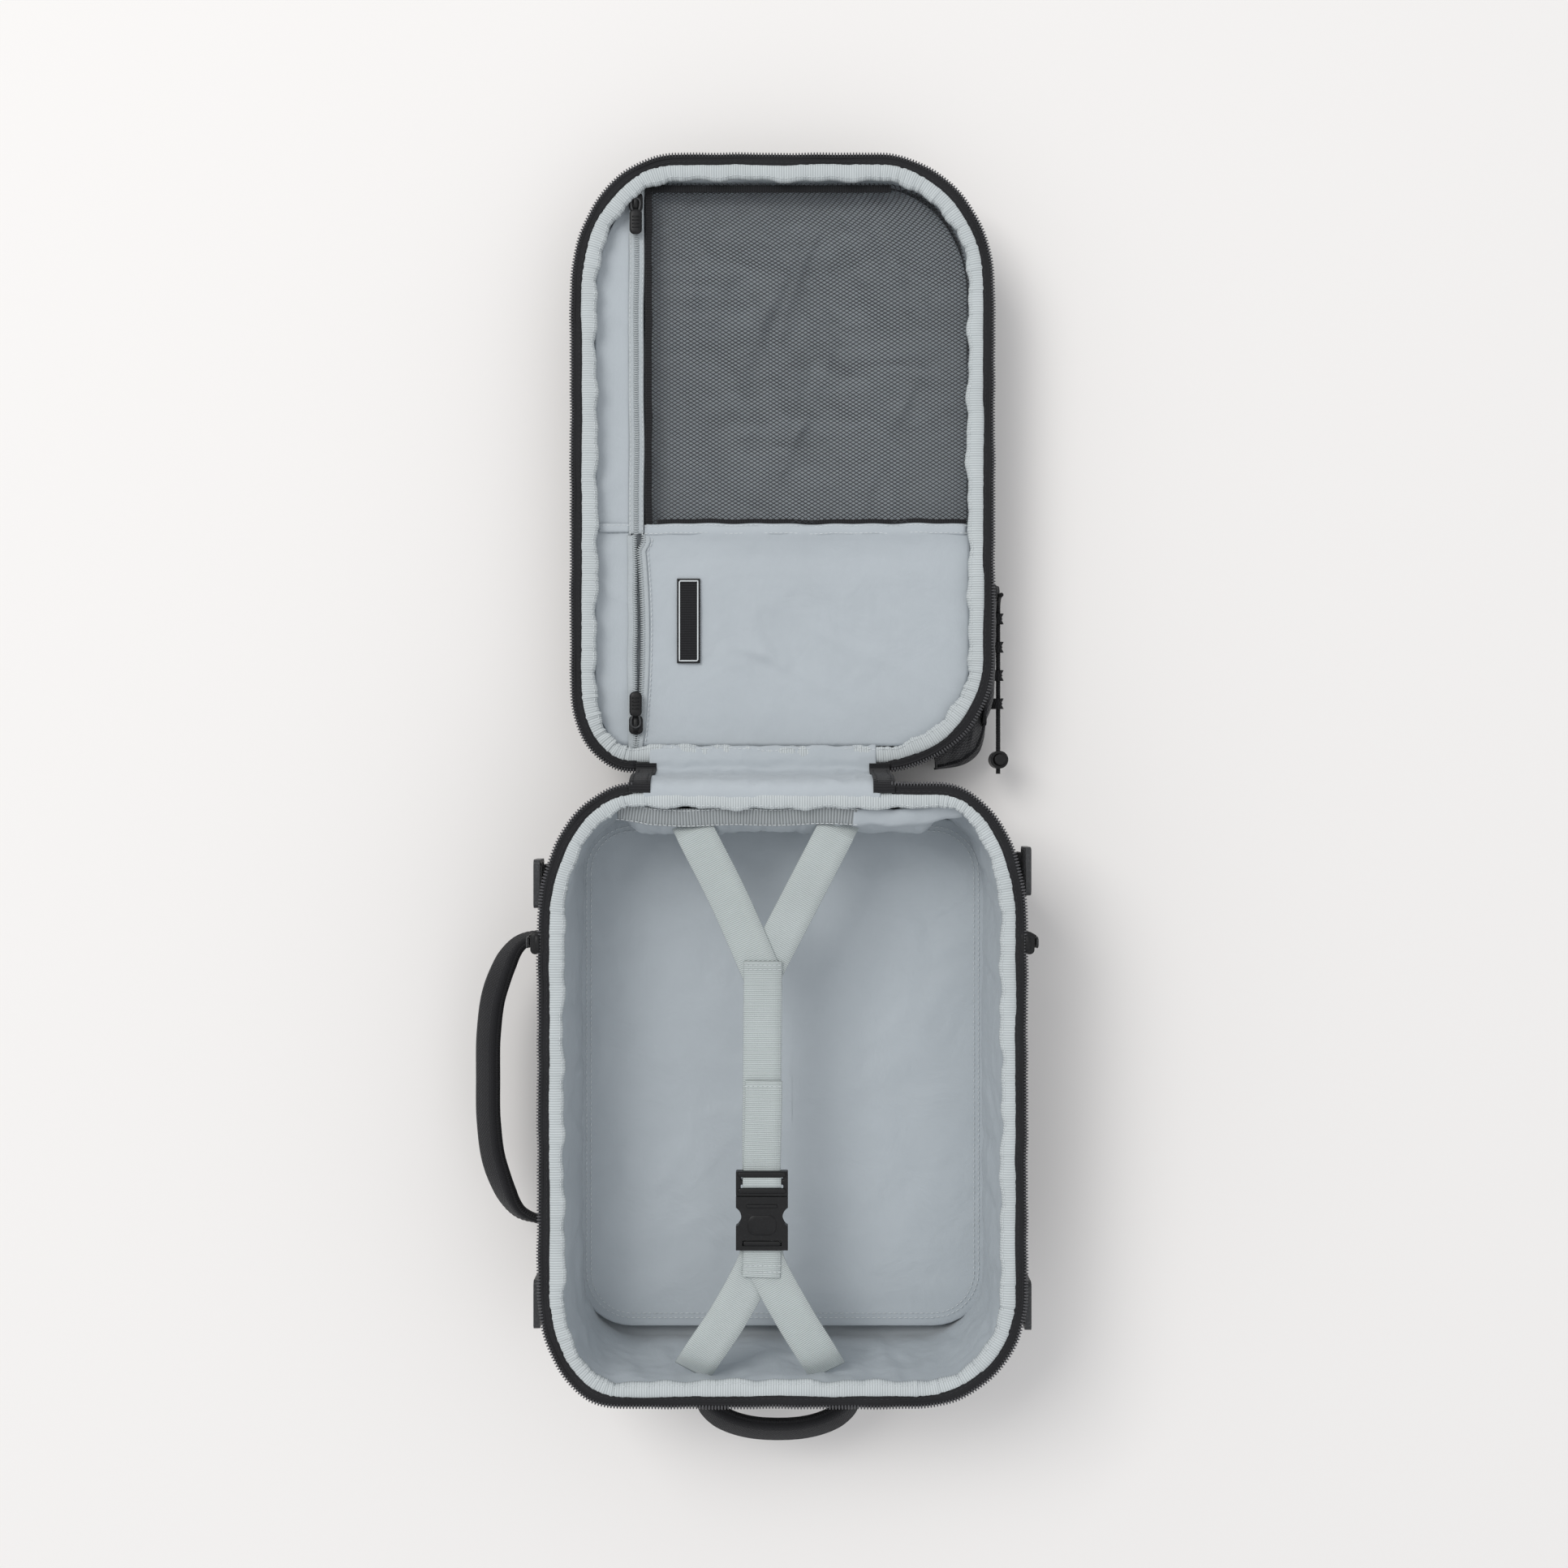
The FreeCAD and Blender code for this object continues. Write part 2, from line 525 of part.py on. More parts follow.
def pocket_zips():
    """The coil zips of the three lid pockets; the mesh pocket's and the lower pocket's sliders run along Y."""
    tape = "$lid_cover_z - 0.1"
    strips = [block(f"front_zip_{k}", 184, 1.6, 2.4, 0, f"{PLAN_Y} + $lid_long/2 - 12", z, 0.5) for k, z in enumerate((1.9, 9.4))]
    mesh = block("mesh_zip", 10.6, 218, 2.4, -97.6, 480, tape, 0.8)
    lower = block("lower_zip", 3.4, 136, 2.2, -101.4, 293.5, tape, 0.8)
    group("pocket_zips", strips + [mesh, lower])
    for label, y, pull_y in (("mesh", 584, 573), ("lower", 236, 247)):
        softened(box(f"{label}_slider_block", 9.4, 13, 4.6, -97.6, y, "$lid_cover_z + 2.7"), f"{label}_slider", 1.4)
        softened(box(f"{label}_pull_block", 8, 26, 2, -97.6, pull_y, "$lid_cover_z + 8"), f"{label}_pull", 0.8)


def bottle_pocket():
    """A stretch pocket on the lid's side wall near the hinge, its mouth towards the far end."""
    x = "$lid_wide/2 - 1.6"
    outer = box("bottle_block", 11.6, 88, 42, x, 282, 13)
    inner = box("bottle_hollow", 20, 90, 37, "$lid_wide/2 - 7.4", 285.4, 15.5)
    node(cut("bottle_cut", outer, inner), "bottle_pocket")
    body = doc.addObject("PartDesign::Body", "bottle_cord")
    path = new_sketch(body, "Route", "YZ_Plane")
    bend = 8
    path.addGeometry(Part.LineSegment(FreeCAD.Vector(0, 20, 0), FreeCAD.Vector(0, bend, 0)))
    circle = Part.Circle(FreeCAD.Vector(-bend, bend, 0), FreeCAD.Vector(0, 0, 1), bend)
    path.addGeometry(Part.ArcOfCircle(circle, -math.pi / 2, 0))
    path.addGeometry(Part.LineSegment(FreeCAD.Vector(-bend, 0, 0), FreeCAD.Vector(-120, 0, 0)))
    path.addConstraint(Sketcher.Constraint("Tangent", 0, 2, 1, 2))
    path.addConstraint(Sketcher.Constraint("Tangent", 1, 1, 2, 1))
    profile = new_sketch(body, "Section")
    bind(profile, "AttachmentOffset.Base.z", 20)
    profile.addGeometry(Part.Circle(FreeCAD.Vector(0, 0, 0), FreeCAD.Vector(0, 0, 1), 1.5))
    made = profile.addConstraint(Sketcher.Constraint("Radius", 0, 1.5))
    bind(profile, f"Constraints[{made}]", "$cord_r")
    doc.recompute()
    pipe = body.newObject("PartDesign::AdditivePipe", "Pipe")
    pipe.Profile = profile
    pipe.Spine = path
    place(body, "$lid_wide/2 + 6.2", 323, 34)
    node(body, "bottle_cord")
    barrel = cut("barrel_cut", rod("barrel_block", 6, 15, "$lid_wide/2 + 6.2", 213, 27, (0, 0, 1)),
                 rod("barrel_bore", 4.2, 12, "$lid_wide/2 + 6.2", 213, 31, (0, 0, 1)))
    hole = rod("barrel_hole", "$cord_r + 0.4", 30, "$lid_wide/2 + 6.2", 200, 34, (0, 1, 0))
    node(cut("barrel_drilled", barrel, hole), "cord_lock_barrel")
    node(rod("cord_lock_button", 3.8, 8, "$lid_wide/2 + 6.2", 213, 37.2), "cord_lock_button")


main_half()
end_pocket()
packing_straps()
buckle()
handles()
compression()
hinge()
main_sliders()
harness()
lid_half()
lid_cover()
pocket_zips()
bottle_pocket()

doc.recompute()
for thing in doc.Objects:
    if {"Invalid", "Error"} & set(thing.State):
        raise SystemExit(f"{thing.Label} {[p.Label for p in thing.InList]} did not recompute: {thing.State}")
os.makedirs("parts", exist_ok=True)
for thing in NODES:
    shape = thing.Shape
    if shape.isNull() or not shape.isValid() or not shape.Solids:
        raise SystemExit(f"{thing.Label} has no valid solid")
    shape.exportStep(f"parts/{thing.Label}.step")
print(len(NODES), "nodes")
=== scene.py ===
import math

import bmesh
import bpy
import numpy as np
from mathutils import Matrix, Vector


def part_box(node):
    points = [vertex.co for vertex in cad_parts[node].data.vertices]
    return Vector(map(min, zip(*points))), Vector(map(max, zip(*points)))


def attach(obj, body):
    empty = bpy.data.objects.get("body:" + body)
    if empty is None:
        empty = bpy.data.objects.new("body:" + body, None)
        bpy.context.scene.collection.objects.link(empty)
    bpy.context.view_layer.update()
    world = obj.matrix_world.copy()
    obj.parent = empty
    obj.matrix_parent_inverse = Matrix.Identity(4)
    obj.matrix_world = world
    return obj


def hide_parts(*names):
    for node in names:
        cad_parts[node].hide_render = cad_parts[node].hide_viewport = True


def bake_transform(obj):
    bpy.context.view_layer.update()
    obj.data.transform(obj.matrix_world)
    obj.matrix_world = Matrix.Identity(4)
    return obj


# A clamshell travel backpack lying open on its back. Lengths in the helpers are millimetres; meshes are metres.

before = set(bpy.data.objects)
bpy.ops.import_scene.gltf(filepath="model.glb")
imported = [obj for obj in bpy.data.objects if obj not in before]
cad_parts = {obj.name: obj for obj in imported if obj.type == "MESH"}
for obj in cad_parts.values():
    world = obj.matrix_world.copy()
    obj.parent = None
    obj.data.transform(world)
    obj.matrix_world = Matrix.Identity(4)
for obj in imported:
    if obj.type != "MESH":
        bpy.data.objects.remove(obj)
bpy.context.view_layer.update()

MM = 0.001
UP = np.array([0.0, 0.0, 1.0])


def span(node):
    """A CAD node's lowest corner, highest corner and centre, in millimetres."""
    low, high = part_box(node)
    low = np.array(low) / MM
    high = np.array(high) / MM
    return low, high, (low + high) / 2


MAIN_LOW, MAIN_HIGH, MAIN_MID = span("main_zip_tape")
LID_LOW, LID_HIGH, LID_MID = span("lid_zip_tape")
HINGE_LOW, HINGE_HIGH, HINGE_MID = span("hinge_tabs")
HINGE_X = HINGE_MID[0]
HINGE_HALF = (HINGE_HIGH[0] - HINGE_LOW[0]) / 2
MAIN_TOP = MAIN_HIGH[2]
LID_TOP = LID_HIGH[2]


# ---------------------------------------------------------------- shader nodes

def add(tree, kind, inputs=None, **props):
    made = tree.nodes.new(kind)
    for key, value in props.items():
        setattr(made, key, value)
    for key, value in (inputs or {}).items():
        if isinstance(value, bpy.types.NodeSocket):
            tree.links.new(value, made.inputs[key])
        else:
            made.inputs[key].default_value = value
    return made


def sums(tree, operation, a, b=0.0, c=0.0, clamp=False):
    return add(tree, "ShaderNodeMath", {0: a, 1: b, 2: c}, operation=operation, use_clamp=clamp).outputs[0]


def effect(name, inputs, outputs):
    """An empty node group with named sockets. Each input is (kind, default)."""
    tree = bpy.data.node_groups.new(name, "ShaderNodeTree")
    for label, (kind, default) in inputs.items():
        socket = tree.interface.new_socket(label, in_out="INPUT", socket_type=kind)
        if default is not None:
            socket.default_value = default
    for label, kind in outputs.items():
        tree.interface.new_socket(label, in_out="OUTPUT", socket_type=kind)
    return tree, tree.nodes.new("NodeGroupInput"), tree.nodes.new("NodeGroupOutput")


def place(tree, group, **inputs):
    made = tree.nodes.new("ShaderNodeGroup")
    made.node_tree = group
    for key, value in inputs.items():
        label = key.replace("_", " ")
        if isinstance(value, bpy.types.NodeSocket):
            tree.links.new(value, made.inputs[label])
        else:
            made.inputs[label].default_value = value
    return made


def make_weave():
    """Plain weave: crossing threads, each round, over and under in turn."""
    tree, given, out = effect("thread weave", {"Place": ("NodeSocketVector", None),
                                               "Threads": ("NodeSocketFloat", 1500.0),
                                               "Stretch": ("NodeSocketFloat", 1.0)},
                              {"Height": "NodeSocketFloat", "Gap": "NodeSocketFloat"}, )
    parts = add(tree, "ShaderNodeSeparateXYZ", {0: given.outputs["Place"]})
    across = sums(tree, "MULTIPLY", parts.outputs[0], given.outputs["Threads"])
    along = sums(tree, "MULTIPLY", sums(tree, "MULTIPLY", parts.outputs[1], given.outputs["Threads"]),
                 given.outputs["Stretch"])
    warp = sums(tree, "ABSOLUTE", sums(tree, "SINE", sums(tree, "MULTIPLY", across, math.pi)))
    weft = sums(tree, "ABSOLUTE", sums(tree, "SINE", sums(tree, "MULTIPLY", along, math.pi)))
    turn = sums(tree, "ADD", sums(tree, "FLOOR", across), sums(tree, "FLOOR", along))
    over = sums(tree, "GREATER_THAN", sums(tree, "PINGPONG", turn, 1.0), 0.5)
    first = sums(tree, "MULTIPLY", warp, over)
    second = sums(tree, "MULTIPLY", weft, sums(tree, "SUBTRACT", 1.0, over))
    height = sums(tree, "ADD", first, second)
    tree.links.new(height, out.inputs["Height"])
    tree.links.new(sums(tree, "SUBTRACT", 1.0, height), out.inputs["Gap"])
    return tree


def make_ribs():
    """Raised ribs across a ribbon, with a fine cross thread."""
    tree, given, out = effect("ribbon ribs", {"Place": ("NodeSocketVector", None), "Ribs": ("NodeSocketFloat", 600.0),
                                              "Cross": ("NodeSocketFloat", 1500.0)},
                              {"Height": "NodeSocketFloat", "Groove": "NodeSocketFloat"}, )
    parts = add(tree, "ShaderNodeSeparateXYZ", {0: given.outputs["Place"]})
    rib = sums(tree, "ABSOLUTE", sums(tree, "SINE", sums(tree, "MULTIPLY",
                                                         sums(tree, "MULTIPLY", parts.outputs[0],
                                                              given.outputs["Ribs"]), math.pi)))
    cross = sums(tree, "ABSOLUTE", sums(tree, "SINE", sums(tree, "MULTIPLY",
                                                           sums(tree, "MULTIPLY", parts.outputs[1],
                                                                given.outputs["Cross"]), math.pi)))
    height = sums(tree, "ADD", rib, sums(tree, "MULTIPLY", cross, 0.25))
    tree.links.new(height, out.inputs["Height"])
    tree.links.new(sums(tree, "SUBTRACT", 1.0, rib), out.inputs["Groove"])
    return tree


def make_tone():
    """Slow changes of tone over a piece, with lighter rubbed patches."""
    tree, given, out = effect(
        "uneven tone",
        {"Place": ("NodeSocketVector", None), "Colour": ("NodeSocketColor", (0.5, 0.5, 0.5, 1)),
         "Worn": ("NodeSocketColor", (0.6, 0.6, 0.6, 1)), "Size": ("NodeSocketFloat", 12.0),
         "Amount": ("NodeSocketFloat", 0.2), "Wear": ("NodeSocketFloat", 0.1)},
        {"Colour": "NodeSocketColor", "Patch": "NodeSocketFloat"},
    )
    slow = add(tree, "ShaderNodeTexNoise", {"Vector": given.outputs["Place"], "Scale": given.outputs["Size"],
                                            "Detail": 5.0, "Roughness": 0.6})
    quick = add(tree, "ShaderNodeTexNoise", {"Vector": given.outputs["Place"],
                                             "Scale": sums(tree, "MULTIPLY", given.outputs["Size"], 9.0),
                                             "Detail": 3.0})
    level = sums(tree, "SUBTRACT", slow.outputs["Fac"], 0.5)
    level = sums(tree, "MULTIPLY_ADD", level, given.outputs["Amount"], 1.0)
    tone = add(tree, "ShaderNodeVectorMath", {0: given.outputs["Colour"]}, operation="SCALE")
    tree.links.new(level, tone.inputs["Scale"])
    rubbed = add(tree, "ShaderNodeMapRange", {"Value": quick.outputs["Fac"], "From Min": 0.52, "From Max": 0.75})
    share = sums(tree, "MULTIPLY", rubbed.outputs[0], given.outputs["Wear"])
    mixed = add(tree, "ShaderNodeMix", {0: share, 6: tone.outputs[0], 7: given.outputs["Worn"]}, data_type="RGBA")
    tree.links.new(mixed.outputs[2], out.inputs["Colour"])
    tree.links.new(slow.outputs["Fac"], out.inputs["Patch"])
    return tree


WEAVE = make_weave()
RIBS = make_ribs()
TONE = make_tone()


def start(name, roughness=0.8, sheen=0.0, specular=0.3):
    material = bpy.data.materials.new(name)
    material.use_nodes = True
    tree = material.node_tree
    shader = tree.nodes["Principled BSDF"]
    shader.inputs["Roughness"].default_value = roughness
    shader.inputs["Sheen Weight"].default_value = sheen
    shader.inputs["Specular IOR Level"].default_value = specular
    return material, tree, shader


def cloth(name, colour, worn, threads=1400, depth=0.25, roughness=0.85, sheen=0.15, folds=0.0, amount=0.25, wear=0.1,
          groove_shade=0.35):
    """A woven cloth: threads on the piece's own UV map with painted shade in the gaps between them, slow tone changes
    and soft small folds.
    """
    material, tree, shader = start(name, roughness, sheen)
    uv = add(tree, "ShaderNodeUVMap", uv_map="UVMap").outputs[0]
    where = add(tree, "ShaderNodeTexCoord").outputs["Object"]
    weave = place(tree, WEAVE, Place=uv, Threads=threads)
    tone = place(tree, TONE, Place=where, Colour=(*colour, 1), Worn=(*worn, 1), Amount=amount, Wear=wear)
    # painted shade: the colour is darkened in the gaps between the threads
    shade = sums(tree, "MULTIPLY_ADD", weave.outputs["Gap"], -groove_shade, 1.0)
    shaded = add(tree, "ShaderNodeVectorMath", {0: tone.outputs["Colour"]}, operation="SCALE")
    tree.links.new(shade, shaded.inputs["Scale"])
    tree.links.new(shaded.outputs[0], shader.inputs["Base Color"])
    bump = add(tree, "ShaderNodeBump", {"Height": weave.outputs["Height"], "Strength": depth, "Distance": 0.0004})
    if folds:
        crease = add(tree, "ShaderNodeTexNoise", {"Vector": where, "Scale": 26.0, "Detail": 4.0, "Roughness": 0.5,
                                                  "Distortion": 0.6})
        soft = add(tree, "ShaderNodeBump", {"Height": crease.outputs["Fac"], "Strength": folds, "Distance": 0.006})
        tree.links.new(soft.outputs[0], bump.inputs["Normal"])
    tree.links.new(bump.outputs[0], shader.inputs["Normal"])
    return material


def ribbed(name, colour, worn, ribs=600, cross=1500, depth=0.5, roughness=0.8, sheen=0.1, groove_shade=0.4, amount=0.2):
    """A ribbon or webbing: ribs across its length, on the piece's own UV map, with painted shade in the grooves
    between them.
    """
    material, tree, shader = start(name, roughness, sheen)
    uv = add(tree, "ShaderNodeUVMap", uv_map="UVMap").outputs[0]
    where = add(tree, "ShaderNodeTexCoord").outputs["Object"]
    rib = place(tree, RIBS, Place=uv, Ribs=ribs, Cross=cross)
    tone = place(tree, TONE, Place=where, Colour=(*colour, 1), Worn=(*worn, 1), Amount=amount, Wear=0.1, Size=30.0)
    # painted shade: the colour is darkened in the grooves between the ribs
    shade = sums(tree, "MULTIPLY_ADD", rib.outputs["Groove"], -groove_shade, 1.0)
    shaded = add(tree, "ShaderNodeVectorMath", {0: tone.outputs["Colour"]}, operation="SCALE")
    tree.links.new(shade, shaded.inputs["Scale"])
    tree.links.new(shaded.outputs[0], shader.inputs["Base Color"])
    bump = add(tree, "ShaderNodeBump", {"Height": rib.outputs["Height"], "Strength": depth, "Distance": 0.0006})
    tree.links.new(bump.outputs[0], shader.inputs["Normal"])
    return material


def net(name, colour, cell=2.6, strand=0.17):
    """A knitted net: two crossing sets of strands, open between them."""
    material, tree, shader = start(name, 0.7, 0.1)
    uv = add(tree, "ShaderNodeUVMap", uv_map="UVMap").outputs[0]
    where = add(tree, "ShaderNodeTexCoord").outputs["Object"]
    parts = add(tree, "ShaderNodeSeparateXYZ", {0: uv})
    sets = []
    for sign in (1.0, -1.0):
        mixed = sums(tree, "MULTIPLY_ADD", parts.outputs[1], 0.62 * sign, parts.outputs[0])
        phase = sums(tree, "MULTIPLY", mixed, 1000.0 / cell)
        sets.append(sums(tree, "ABSOLUTE", sums(tree, "SINE", sums(tree, "MULTIPLY", phase, math.pi))))
    nearest = sums(tree, "MINIMUM", sets[0], sets[1])
    solid = sums(tree, "LESS_THAN", nearest, strand * 2.0)
    knot = sums(tree, "LESS_THAN", sums(tree, "ADD", sets[0], sets[1]), strand * 3.2)
    tree.links.new(sums(tree, "MAXIMUM", solid, knot), shader.inputs["Alpha"])
    tone = place(tree, TONE, Place=where, Colour=(*colour, 1), Worn=(*[c * 2 for c in colour], 1), Amount=0.4,
                 Wear=0.2)
    tree.links.new(tone.outputs["Colour"], shader.inputs["Base Color"])
    bump = add(tree, "ShaderNodeBump", {"Height": sums(tree, "SUBTRACT", 1.0, nearest), "Strength": 0.5,
                                        "Distance": 0.0004})
    tree.links.new(bump.outputs[0], shader.inputs["Normal"])
    return material


def moulded(name, colour, worn, roughness=0.42, grain=0.15, wear=0.25):
    """Moulded plastic: fine spark grain, scuffed a little lighter in patches."""
    material, tree, shader = start(name, roughness, 0.0, 0.24)
    where = add(tree, "ShaderNodeTexCoord").outputs["Object"]
    tone = place(tree, TONE, Place=where, Colour=(*colour, 1), Worn=(*worn, 1), Amount=0.3, Wear=wear, Size=90.0)
    tree.links.new(tone.outputs["Colour"], shader.inputs["Base Color"])
    fine = add(tree, "ShaderNodeTexNoise", {"Vector": where, "Scale": 3500.0, "Detail": 2.0})
    rough = sums(tree, "MULTIPLY_ADD", tone.outputs["Patch"], 0.25, roughness - 0.12)
    tree.links.new(rough, shader.inputs["Roughness"])
    bump = add(tree, "ShaderNodeBump", {"Height": fine.outputs["Fac"], "Strength": grain, "Distance": 0.0002})
    tree.links.new(bump.outputs[0], shader.inputs["Normal"])
    return material


BLACK = cloth("shell fabric", (0.017, 0.017, 0.019), (0.045, 0.045, 0.05), threads=1100, depth=0.4, sheen=0.12,
              folds=0.25, groove_shade=0.5)
PADDED = cloth("padded mesh fabric", (0.022, 0.022, 0.025), (0.05, 0.05, 0.055), threads=520, depth=0.9, sheen=0.2,
               groove_shade=0.75)
GRIP = cloth("grip fabric", (0.012, 0.012, 0.014), (0.035, 0.035, 0.04), threads=900, depth=0.5, sheen=0.12,
             groove_shade=0.6)
LINING = cloth("lining", (0.46, 0.5, 0.53), (0.53, 0.57, 0.6), threads=2100, depth=0.12, roughness=0.68, sheen=0.1,
               folds=0.35, amount=0.12, groove_shade=0.12)
COVER = cloth("pocket cloth", (0.47, 0.51, 0.54), (0.54, 0.58, 0.61), threads=1700, depth=0.15, roughness=0.72,
              sheen=0.1, folds=0.3, amount=0.1, groove_shade=0.15)
EDGING = ribbed("rim ribbon", (0.58, 0.62, 0.63), (0.66, 0.69, 0.7), ribs=620, cross=1900, depth=0.5, groove_shade=0.28)
ELASTIC = ribbed("elastic band", (0.42, 0.45, 0.46), (0.5, 0.53, 0.54), ribs=520, cross=1900, depth=0.9, groove_shade=0.5)
WEBBING = ribbed("grey webbing", (0.54, 0.59, 0.585), (0.62, 0.66, 0.66), ribs=820, cross=900, depth=0.7, groove_shade=0.26)
DARK_WEBBING = ribbed("black webbing", (0.014, 0.014, 0.016), (0.04, 0.04, 0.045), ribs=620, cross=800, depth=0.8,
                      groove_shade=0.5)
TAPE = ribbed("zip tape", (0.016, 0.016, 0.018), (0.04, 0.04, 0.045), ribs=1500, cross=1500, depth=0.4, groove_shade=0.4)
GREY_TAPE = ribbed("grey zip tape", (0.5, 0.54, 0.56), (0.6, 0.63, 0.65), ribs=1500, cross=1500, depth=0.4,
                   groove_shade=0.25)
NET = net("pocket net", (0.03, 0.032, 0.036))
PLASTIC = moulded("black plastic", (0.009, 0.009, 0.0095), (0.03, 0.03, 0.032), roughness=0.4, wear=0.3)
GREY_PLASTIC = moulded("gunmetal plastic", (0.045, 0.046, 0.048), (0.15, 0.155, 0.16), roughness=0.3, wear=0.4)
COIL = moulded("black coil", (0.075, 0.075, 0.08), (0.2, 0.2, 0.21), roughness=0.3)
GREY_COIL = moulded("grey coil", (0.42, 0.45, 0.46), (0.6, 0.63, 0.64), roughness=0.4)
THREAD = moulded("grey thread", (0.62, 0.65, 0.66), (0.75, 0.77, 0.78), roughness=0.7)
DARK_THREAD = moulded("black thread", (0.03, 0.03, 0.032), (0.07, 0.07, 0.075), roughness=0.7)
FOAM = moulded("foam", (0.05, 0.05, 0.055), (0.1, 0.1, 0.1), roughness=0.9, grain=0.6)


# ---------------------------------------------------------------- mesh helpers

def ripple(s, lengths, size, seed):
    """Smooth uneven waves along a distance, in millimetres. Lengths are the wavelengths."""
    rng = np.random.default_rng(seed)
    total = np.zeros_like(np.asarray(s, float))
    for long in lengths:
        total = total + np.sin(2 * np.pi * np.asarray(s) / long + rng.uniform(0, 6.28)) * rng.uniform(0.5, 1.0)
    return total * size / len(lengths)


def closed_ripple(s, whole, counts, size, seed):
    """The same round a closed run of that length: each count is a number of whole waves."""
    return ripple(s, [whole / c for c in counts], size, seed)


def crumple(points, length, size, seed, waves=7):
    """Soft creases over a surface: waves of random direction, each bent by the last."""
    rng = np.random.default_rng(seed)
    flat = points.reshape(-1, 3)
    total = np.zeros(len(flat))
    bend = np.zeros(len(flat))
    for k in range(waves):
        way = rng.normal(size=3)
        way = way / np.linalg.norm(way)
        phase = flat @ way / (length * rng.uniform(0.6, 1.6)) * 2 * np.pi + bend + rng.uniform(0, 6.28)
        wave = np.sin(phase)
        total += 1.0 - 2.0 * np.abs(wave) if k % 2 else wave
        bend = wave * 1.3
    return (total / waves * size).reshape(points.shape[:-1])


def skin(name, grid, material, round_=False, ring=False, caps=False, flip=False):
    """A smooth mesh from rows of points, with a UV map in metres.

    round_ joins each row's ends, ring joins the last row to the first.
    """
    rows, cols = grid.shape[:2]
    faces = []
    coords = []
    step_u = np.linalg.norm(np.roll(grid, -1, axis=1) - grid, axis=2).mean(axis=0)
    step_v = np.linalg.norm(np.roll(grid, -1, axis=0) - grid, axis=2).mean(axis=1)
    u = np.concatenate([[0], np.cumsum(step_u)]) * MM
    v = np.concatenate([[0], np.cumsum(step_v)]) * MM
    for r in range(rows if ring else rows - 1):
        for c in range(cols if round_ else cols - 1):
            r2 = (r + 1) % rows
            c2 = (c + 1) % cols
            face = [(r, c), (r, c2), (r2, c2), (r2, c)]
            corner = [(v[r], u[c]), (v[r], u[c + 1]), (v[r + 1], u[c + 1]), (v[r + 1], u[c])]
            if flip:
                face.reverse()
                corner.reverse()
            faces.append([a * cols + b for a, b in face])
            coords.extend(corner)
    if caps:
        for row, backwards in ((0, not flip), (rows - 1, flip)):
            line = list(range(cols))
            if backwards:
                line.reverse()
            faces.append([row * cols + c for c in line])
            coords.extend([(v[row], u[c]) for c in line])
    mesh = bpy.data.meshes.new(name)
    mesh.from_pydata((grid.reshape(-1, 3) * MM).tolist(), [], faces)
    layer = mesh.uv_layers.new(name="UVMap")
    layer.data.foreach_set("uv", np.array(coords, float).ravel())
    mesh.materials.append(material)
    mesh.shade_smooth()
    mesh.update()
    piece = bpy.data.objects.new(name, mesh)
    bpy.context.collection.objects.link(piece)
    return piece


def frame_of(path, up=UP, ring=False):
    """Unit side and up vectors at each point of a path."""
    if ring:
        ahead = np.roll(path, -1, axis=0) - np.roll(path, 1, axis=0)
    else:
        ahead = np.gradient(path, axis=0)
    ahead = ahead / np.linalg.norm(ahead, axis=1, keepdims=True)
    ups = np.broadcast_to(np.asarray(up, float), path.shape)
    side = np.cross(ups, ahead)
    side = side / np.linalg.norm(side, axis=1, keepdims=True)
    return side, np.cross(ahead, side)


def flat_section(wide, thick, crown=0.0):
    """The rounded outline of a strap: (across, up) pairs."""
    w = wide / 2
    h = thick / 2
    return [(-w + h * 0.5, -h), (-w * 0.5, -h), (0, -h), (w * 0.5, -h), (w - h * 0.5, -h), (w, 0), (w - h * 0.5, h),
            (w * 0.5, h + crown * 0.7), (0, h + crown), (-w * 0.5, h + crown * 0.7), (-w + h * 0.5, h), (-w, 0)]


def round_section(wide, thick, count=12):
    return [(math.cos(a) * wide / 2, math.sin(a) * thick / 2) for a in np.linspace(0, 2 * math.pi, count,
                                                                                   endpoint=False)]


def sweep(name, path, section, material, up=UP, ring=False, scale=None, caps=True):
    """A section carried along a path."""
    path = np.asarray(path, float)
    side, ups = frame_of(path, up, ring)
    section = np.array(section, float)
    size = np.ones(len(path)) if scale is None else np.asarray(scale)
    sized = section[None] * size[:, None, None]
    grid = path[:, None] + side[:, None] * sized[:, :, :1] + ups[:, None] * sized[:, :, 1:]
    return skin(name, grid, material, round_=True, ring=ring, caps=caps and not ring)


def curve_points(points, count=60, closed=False):
    """A smooth Catmull-Rom line through a few points, evenly spaced."""
    p = np.array(points, float)
    p = np.vstack([p[-1], p, p[0], p[1]]) if closed else np.vstack([2 * p[0] - p[1], p, 2 * p[-1] - p[-2]])
    line = []
    for i in range(1, len(p) - 2):
        for t in np.linspace(0, 1, 24, endpoint=False):
            a, b, c, d = p[i - 1], p[i], p[i + 1], p[i + 2]
            line.append(0.5 * (2 * b + (c - a) * t + (2 * a - 5 * b + 4 * c - d) * t ** 2 + (3 * b - a - 3 * c + d)
                               * t ** 3))
    if not closed:
        line.append(p[-2])
    return spaced(np.array(line), count, closed)


def spaced(line, count, closed=False):
    """The same line with evenly spaced points."""
    if closed:
        line = np.vstack([line, line[:1]])
    steps = np.concatenate([[0], np.cumsum(np.linalg.norm(np.diff(line, axis=0), axis=1))])
    wanted = np.linspace(0, steps[-1], count + 1)[:-1] if closed else np.linspace(0, steps[-1], count)
    return np.stack([np.interp(wanted, steps, line[:, k]) for k in range(line.shape[1])], axis=1)


